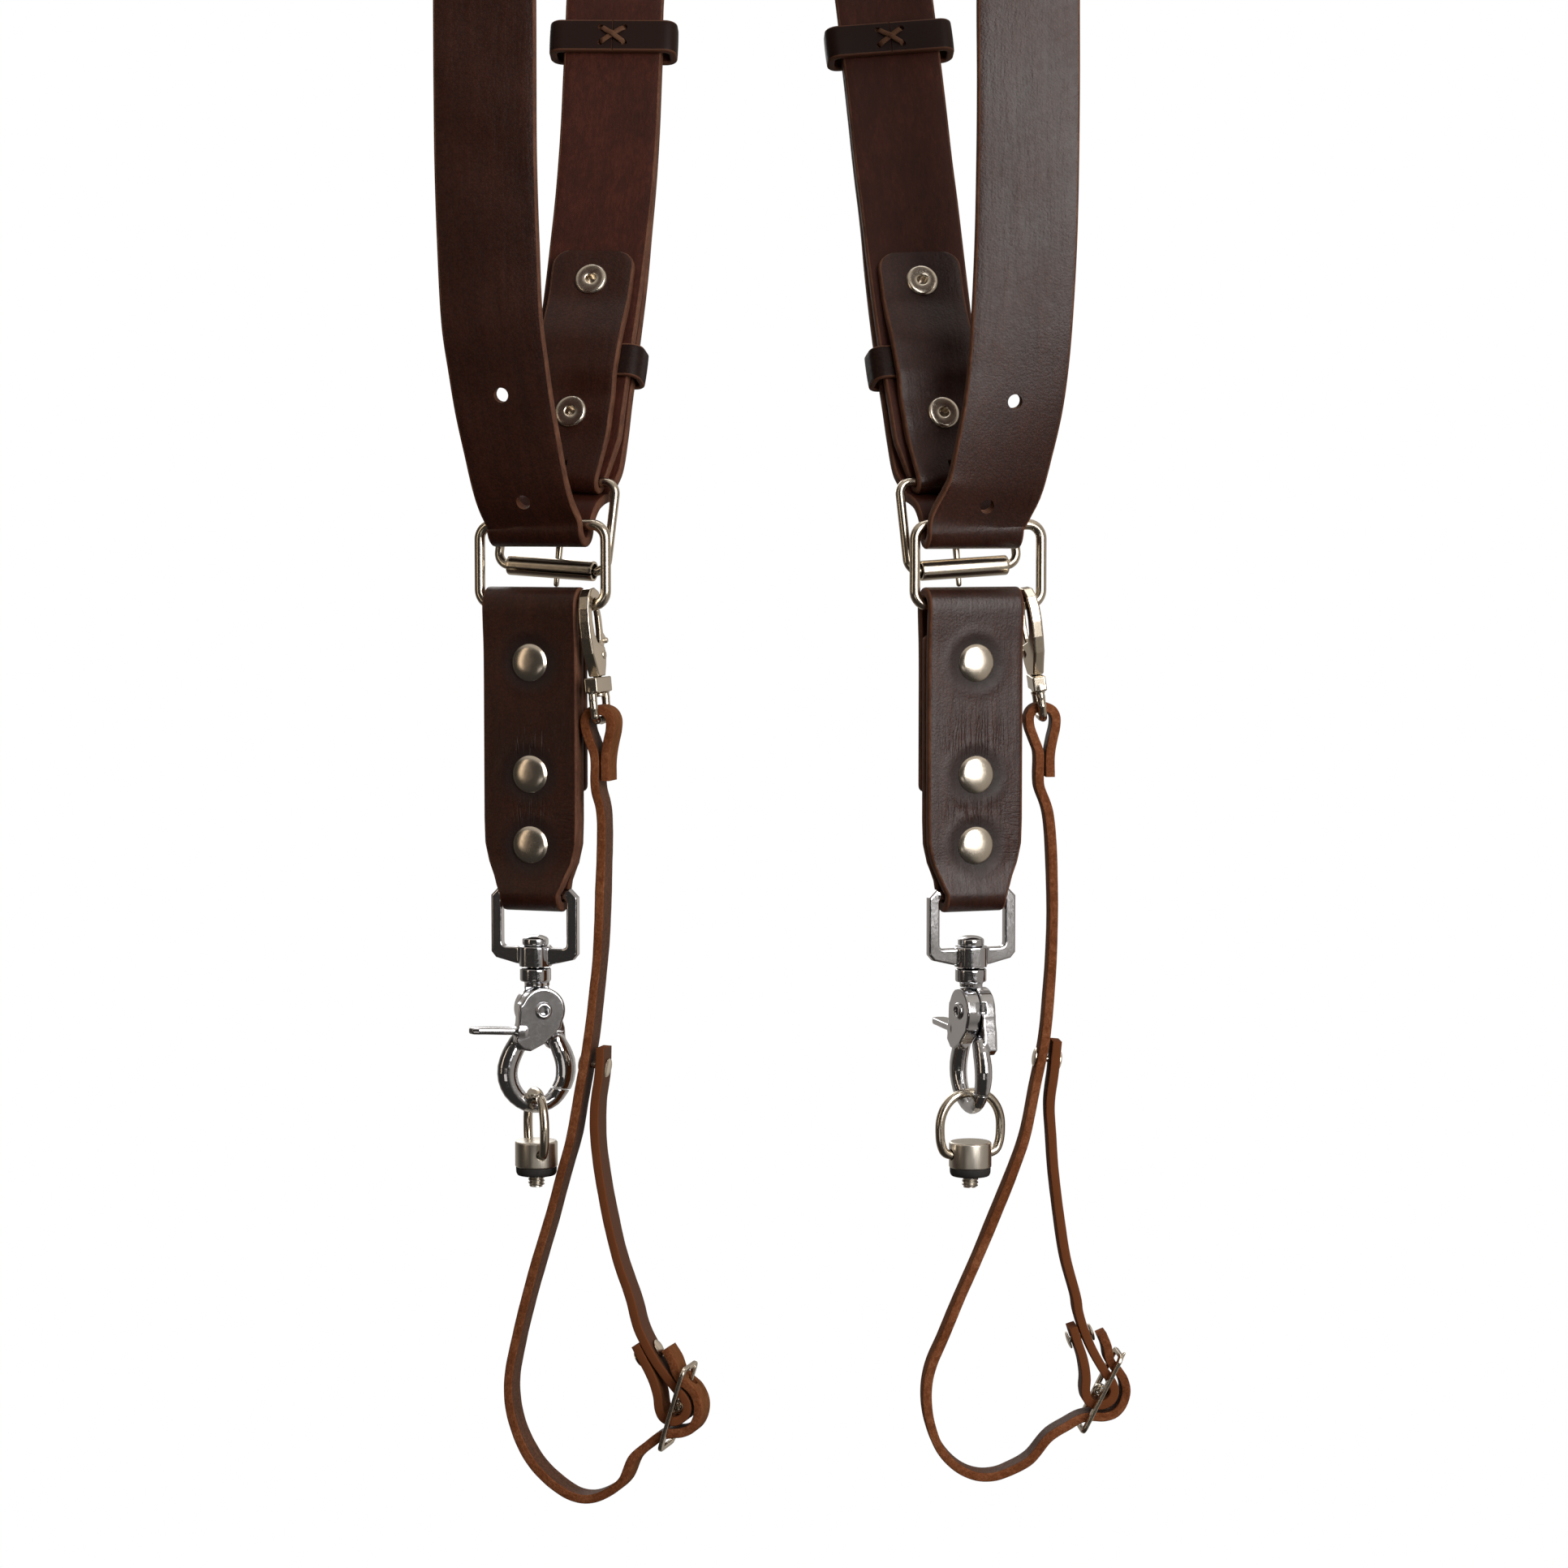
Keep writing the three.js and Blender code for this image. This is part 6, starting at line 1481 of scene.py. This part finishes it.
RIV = [-51.3, -93, -119.5]
for name in ("left", "right"):
    S = side[name]
    G = place(S["o"], S["x"], S["y"], EZ)
    ob = make("ring_" + name, [loop_tube(round_rect(RING_W, RING_H, RING_R, 10), V(0, 0, -RING_H / 2), EX, EZ, -EY, RING_WIRE, 24)], [M_NICKEL], m=G)
    piece(ob, "ring_" + name, "warm_nickel", "link_ring_" + name)

    # leather tab
    tab = [(3.95, -99.7, 37.5), (3.95, -97, 38), (3.95, -92, 38), (3.95, -70, 38), (3.97, -52, 38), (4.2, -44, 38), (4.75, -36.5, 38)]
    tab += [(5.0 * math.cos(i * 30 * RAD), -30 + 5.0 * math.sin(i * 30 * RAD), 38) for i in range(7)]
    tab += [(-4.75, -36.5, 38), (-4.2, -44, 38), (-3.97, -52, 38), (-3.95, -70, 38), (-3.95, -92, 38), (-3.95, -110, 38), (-3.95, -119, 37.4), (-3.97, -126.3, 34), (-4.75, -131.5, 29.5), (-5.8, -136, 26)]
    tab += [(-1.2 - 4.9 * math.cos(i * 30 * RAD), -137.9 - 4.9 * math.sin(i * 30 * RAD), 24) for i in range(7)]
    tab += [(2.4, -133.2, 27), (0.1, -126.5, 34), (0, -119, 37.4), (0, -110, 38), (0, -92, 38), (0, -70, 38), (0, -52, 38), (0, -41, 38)]

    def pressed(g, secs, fr, path, right=(name == "right")):
        """Leather drawn in round each rivet, with a low ridge round the dip, and its outer edges rolled down a little.
        """
        P, T, W, N = fr
        out = secs.copy()
        c = P[:, None] + W[:, None] * secs[..., 0:1]
        outer_ = (np.abs(P[:, 1]) > 3.2)[:, None] & (secs[..., 1] > 0)
        for w in RIV:
            d = np.hypot(c[..., 0] - TAB_U, c[..., 2] - w)
            out[..., 1] += np.where(outer_, -0.42 * np.exp(-(d / 8.6) ** 4) + (0.24 if right else 0.16) * np.exp(-((d - 11.3) / 2.0) ** 2), 0)
        a = np.abs(secs[..., 0]) / 19
        out[..., 1] -= np.where(outer_ & (secs[..., 1] > 0), 0.22 * np.clip((a - 0.86) / 0.14, 0, 1) ** 2, 0)
        return out

    part, _ = leather([(V(TAB_U, v, w), EX, wd, TAB_T) for v, w, wd in tab], nx=34, step=0.95, ang=5, r=0.9, r0=2.0, r1=2.0, shape=pressed, off=5200 if name == "left" else 5900)
    ob = make("tab_" + name, [part], TAB_MATS[name], m=G, attr=True)
    for w in RIV:
        t_ = cyl(2.3, V(TAB_U, -9, w), V(TAB_U, 9, w), 20, fm=1)
        cut(ob, [(moved(G, t_[0]), t_[1], t_[2], t_[3])], TAB_MATS[name])
    piece(ob, "tab_" + name, "strap_leather", "tab_leather_" + name)
    for i, w in enumerate(RIV):
        ob = make("tab_rivet_%d_%s" % (i + 1, name), [rivet(V(TAB_U, 0, w), EY, 5.40, 1.8 if i == 2 else 5.48, 7.0, 1.95, 5.8, 1.6, 2)], [M_RIVET], m=G, sharp=40)
        piece(ob, "tab_" + name, "rivet_nickel", "tab_rivet_%d_%s" % (i + 1, name))

    # swivel snap
    ob = make("snap_eye_" + name, [EYE], [M_CHROME], m=G @ place((TAB_U, -1.2, 0)))
    piece(ob, "eye_" + name, "snap_chrome", "hook_eye_" + name)
    HM = G @ place((TAB_U, -1.2, HOOK_DZ)) @ rot_z(S["hookYaw"] - S["yaw"])
    ob = make("snap_body_" + name, [BODY], [M_CHROME], m=HM)
    piece(ob, "snap_" + name, "snap_chrome", "hook_body_" + name)
    ob = make("snap_trigger_" + name, [TRIGGER], [M_CHROME], m=HM)
    piece(ob, "trigger_" + name, "snap_chrome", "hook_trigger_" + name)
    prof = rounded([(1.45, -4.2), (1.45, -6.15), (1.95, -6.85), (2.75, -6.8), (3.3, -6.1), (3.3, -5.7), (2.05, -5.7), (2.05, 5.7), (3.3, 5.7), (3.3, 6.1), (2.75, 6.8), (1.95, 6.85), (1.45, 6.15), (1.45, 4.2)], 0.25)
    ob = make("snap_pin_" + name, [lathe([(0, -4.2)] + [tuple(q) for q in prof] + [(0, 4.2)], (PIN, 0, 0), EY, 44)], [M_CHROME], m=HM, sharp=45)
    piece(ob, "snap_" + name, "snap_chrome", "hook_pin_" + name)

    # D-ring and camera screw
    zE = -731.8 + 677.4
    dr = [(-5.9, zE), (-8.4, zE), (-10.6, zE + 1.1), (-12.0, zE + 4.2), (-12.5, -45.5), (-12.2, -41), (-10.6, -36.8), (-7.6, -33.4), (-3.8, -31.7), (0, -31.35)]
    dr = dr + [(-c, b) for c, b in dr[:-1][::-1]]
    ob = make("dring_" + name, [tube([V(0, c, b) for c, b in dr], 1.75, EX, 22, ends=False)], [M_NICKEL], m=HM)
    piece(ob, "dring_" + name, "warm_nickel", "screw_dring_" + name)
    cT, cB = -727.2 + 677.4, -737 + 677.4
    prof = rounded([(0.0, cT), (CAP_R - 0.55, cT), (CAP_R, cT - 0.55), (CAP_R, cB + 0.35), (CAP_R - 0.35, cB), (SCREW_R - 0.3, cB)], 0.25)
    cap_ = lathe([tuple(q) for q in prof] + [(0, cB)], seg=72)
    ob = make("screw_cap_" + name, [cap_], [M_SATIN], m=HM, sharp=45)
    for s_ in (-1, 1):
        t_ = cyl(2.15, V(0, s_ * 5.5, zE), V(0, s_ * 12, zE), 28)
        cut(ob, [(moved(HM, t_[0]), t_[1], None, None)], [M_SATIN])
    piece(ob, "screw_" + name, "satin_nickel", "screw_cap_" + name)
    ob = make("screw_stud_" + name, [thread(SCREW_R - 0.02, 0.55, 1.27, cB + 0.3, cB - 7.6)], [M_SATIN], m=HM, sharp=60)
    piece(ob, "screw_" + name, "satin_nickel", "screw_cap_" + name)
    prof = rounded([(SCREW_R + 0.3, cB - 0.02), (7.75, cB - 0.02), (7.65, cB - 2.1), (7.1, cB - 3.2), (SCREW_R + 0.3, cB - 3.2)], 0.45, closed=True)
    ob = make("screw_pad_" + name, [lathe(prof, seg=64, closed=True)], [M_RUBBER], m=HM, sharp=50)
    piece(ob, "screw_" + name, "black_rubber", "screw_pad_" + name)

    # lobster clasp
    CM = G @ place((19.5, 0, -RING_H)) @ rot_y(-S["tilt"]) @ place((0, 0, -1.0))
    ob = make("clasp_" + name, [CLASP], [M_NICKEL], m=CM)
    piece(ob, "clasp_" + name, "warm_nickel", "clasp_body_" + name)
    ob = make("clasp_gate_" + name, [LEVER], [M_NICKEL], m=CM)
    piece(ob, "gate_" + name, "warm_nickel", "clasp_lever_" + name)
    ob = make("clasp_eye_" + name, [SWIVEL], [M_NICKEL], m=CM @ rot_z(S["tetherYaw"] - S["yaw"]))
    piece(ob, "swivel_" + name, "warm_nickel", "clasp_swivel_" + name)

    # tether
    E = V(19.5 + 42.7 * math.sin(S["tilt"] * RAD), 0, -RING_H - 42.7 * math.cos(S["tilt"] * RAD))
    TM = G @ place(E) @ rot_z(S["tetherYaw"] - S["yaw"])
    ez = RING_Z + E[2]
    turn = S["buckleTurn"] * RAD
    C = TETHER_BUCKLE[name]
    ct, sn = math.cos(turn), math.sin(turn)
    Lc = lambda q: (C[0] + q[0] * ct - q[1] * sn, C[1] + q[0] * sn + q[1] * ct - ez)
    fold = [(2.9, -22.4), (2.9, -14), (3.9, -8), (4.9, -3.5), (4.9, 0.4), (3.4, 2.9), (0, 4.0), (-3.4, 2.9), (-4.9, 0.4), (-4.7, -3.5), (-3.1, -8), (-1.3, -13), (-1.2, -22.4), (-0.9, -26)]
    main = fold + [(a, b - ez) for a, b in TETHER_MAIN[name]] + [Lc(q) for q in LOCAL_MAIN]
    branch = [(a, b - ez) for a, b in TETHER_BRANCH[name]] + [Lc(q) for q in LOCAL_BRANCH]
    fd = V(0.29 * ct - 0.957 * sn, 0, 0.29 * sn + 0.957 * ct)
    fn = V(fd[2], 0, -fd[0])
    bc = V(C[0], 0, C[1] - ez)
    along = lambda s, n: bc + fd * s + fn * n

    def rough_edge(g, secs, fr, path, k=S["s"]):
        """Cut with a knife from thick hide, so the edges wander a little."""
        out = secs.copy()
        sgn = np.sign(secs[..., 0])
        n1 = 0.14 * np.sin(g / 7.1 + k)[:, None] + 0.09 * np.sin(g / 2.9 + 2 * k)[:, None] + 0.05 * np.sin(g / 1.13)[:, None]
        out[..., 0] += sgn * n1 * (np.abs(secs[..., 0]) > 3.5)
        out[..., 1] *= (1 + 0.035 * np.sin(g / 11.7 + k))[:, None]
        return out

    tp = lambda q: (V(q[0], 0, q[1]), EY, TETHER_W, TETHER_T)
    kw = dict(nx=6, step=1.5, ang=5, r=0.45, shape=rough_edge)
    part, _ = leather([tp(q) for q in main], off=7000 + 400 * (S["s"] > 0), **kw)
    thong = make("tether_" + name, [part], THONG_MATS, m=TM, attr=True)
    part, _ = leather([tp(q) for q in branch], off=8000 + 300 * (S["s"] > 0), **kw)
    second = make("tether_branch_" + name, [part], THONG_MATS, m=TM, attr=True)

    def cut_local(ob_, t_):
        cut(ob_, [(moved(TM, t_[0]), t_[1], [1] * len(t_[1]), None)], THONG_MATS)

    cut_local(thong, cyl(1.9, along(3.2, 2.5), along(18, 3.1), 18))
    cut_local(second, block(along(2.2, 3.2), [6, 2.9, 15.5], fn, EY, np.cross(fn, EY)))
    jz = -697.5 - ez

    def x_on(lst, z):
        for (a0, b0_), (a1, b1_) in zip(lst[:-1], lst[1:]):
            if (b0_ - z) * (b1_ - z) <= 0:
                return a0 + (a1 - a0) * (b0_ - z) / (b0_ - b1_)
        return 0.0

    xm, xb = x_on(main[14:], jz), x_on(branch, jz)
    dj = V(math.cos(10 * RAD), 0, -math.sin(10 * RAD))
    pj = V((xm + xb) / 2, 0, jz)
    half = (xb - xm) / 2 / math.cos(10 * RAD) + TETHER_T / 2
    for ob_ in (thong, second):
        cut_local(ob_, cyl(1.5, pj - dj * 8, pj + dj * 8, 16))
    ob = make("tether_join_rivet_" + name, [rivet(pj, dj, half - 0.02, half - 0.02, 3.6, 1.2, 3.6, 1.2, 1.2, seg=40)], [M_RIVET], m=TM, sharp=40)
    piece(ob, "tether_" + name, "rivet_nickel", "tether_rivet_join_" + name)
    ra, rb = Lc((-11.2, 19.4))
    dl = V(0.87 * ct - 0.49 * sn, 0, 0.87 * sn + 0.49 * ct)
    pl = V(ra, 0, rb)
    cut_local(second, cyl(1.5, pl - dl * 8, pl + dl * 5, 16))
    ob = make("tether_loop_rivet_" + name, [rivet(pl, dl, 4.3, 4.3, 3.4, 1.0, 3.4, 1.0, 1.2, seg=40)], [M_RIVET], m=TM, sharp=40)
    piece(ob, "tether_" + name, "rivet_nickel", "tether_rivet_buckle_" + name)
    piece(thong, "tether_" + name, "tether_leather", "tether_strap_" + name)
    piece(second, "tether_" + name, "tether_leather", "tether_branch_" + name)

    # little buckle and needle
    o_ = bc

    def f_lb(p):
        q = p - o_
        a, b, c = q @ EY, q @ fd, q @ np.cross(EY, fd)
        fr_ = smax(sd_poly(a, b, round_rect(18.4, 33.6, 3, 5)), -sd_poly(a, b, round_rect(11.8, 30, 1.6, 4)), 0.3)
        d = sd_plate(fr_, c, -0.8, 0.8, 0.45)
        return smin(d, sd_cyl(p, o_ - EY * 7.5, o_ + EY * 7.5, 1.1), 0.5)

    ext_ = np.abs(fd) * 17 + np.abs(np.cross(EY, fd)) * 1.2 + V(0, 9.4, 0)
    ob = make("tether_buckle_" + name, [surface(f_lb, o_ - ext_, o_ + ext_, 0.25)], [M_NICKEL], m=TM)
    piece(ob, "small_buckle_" + name, "warm_nickel", "tether_buckle_" + name)
    nd = [lathe(rounded([(1.35, -1.1), (2.6, -1.1), (2.6, 1.1), (1.35, 1.1)], 0.4, closed=True), o_, EY, 36, closed=True),
          tube([along(1.2, 2.0), along(6, 2.05), along(12, 2.0), along(16.6, 2.0)], [0.8, 0.8, 0.75, 0.6], EY, 16)]
    ob = make("tether_needle_" + name, nd, [M_NICKEL], m=TM, sharp=50)
    piece(ob, "needle_" + name, "warm_nickel", "tether_needle_" + name)

# ------------------------------------------------------------------- closing
bpy.context.view_layer.update()
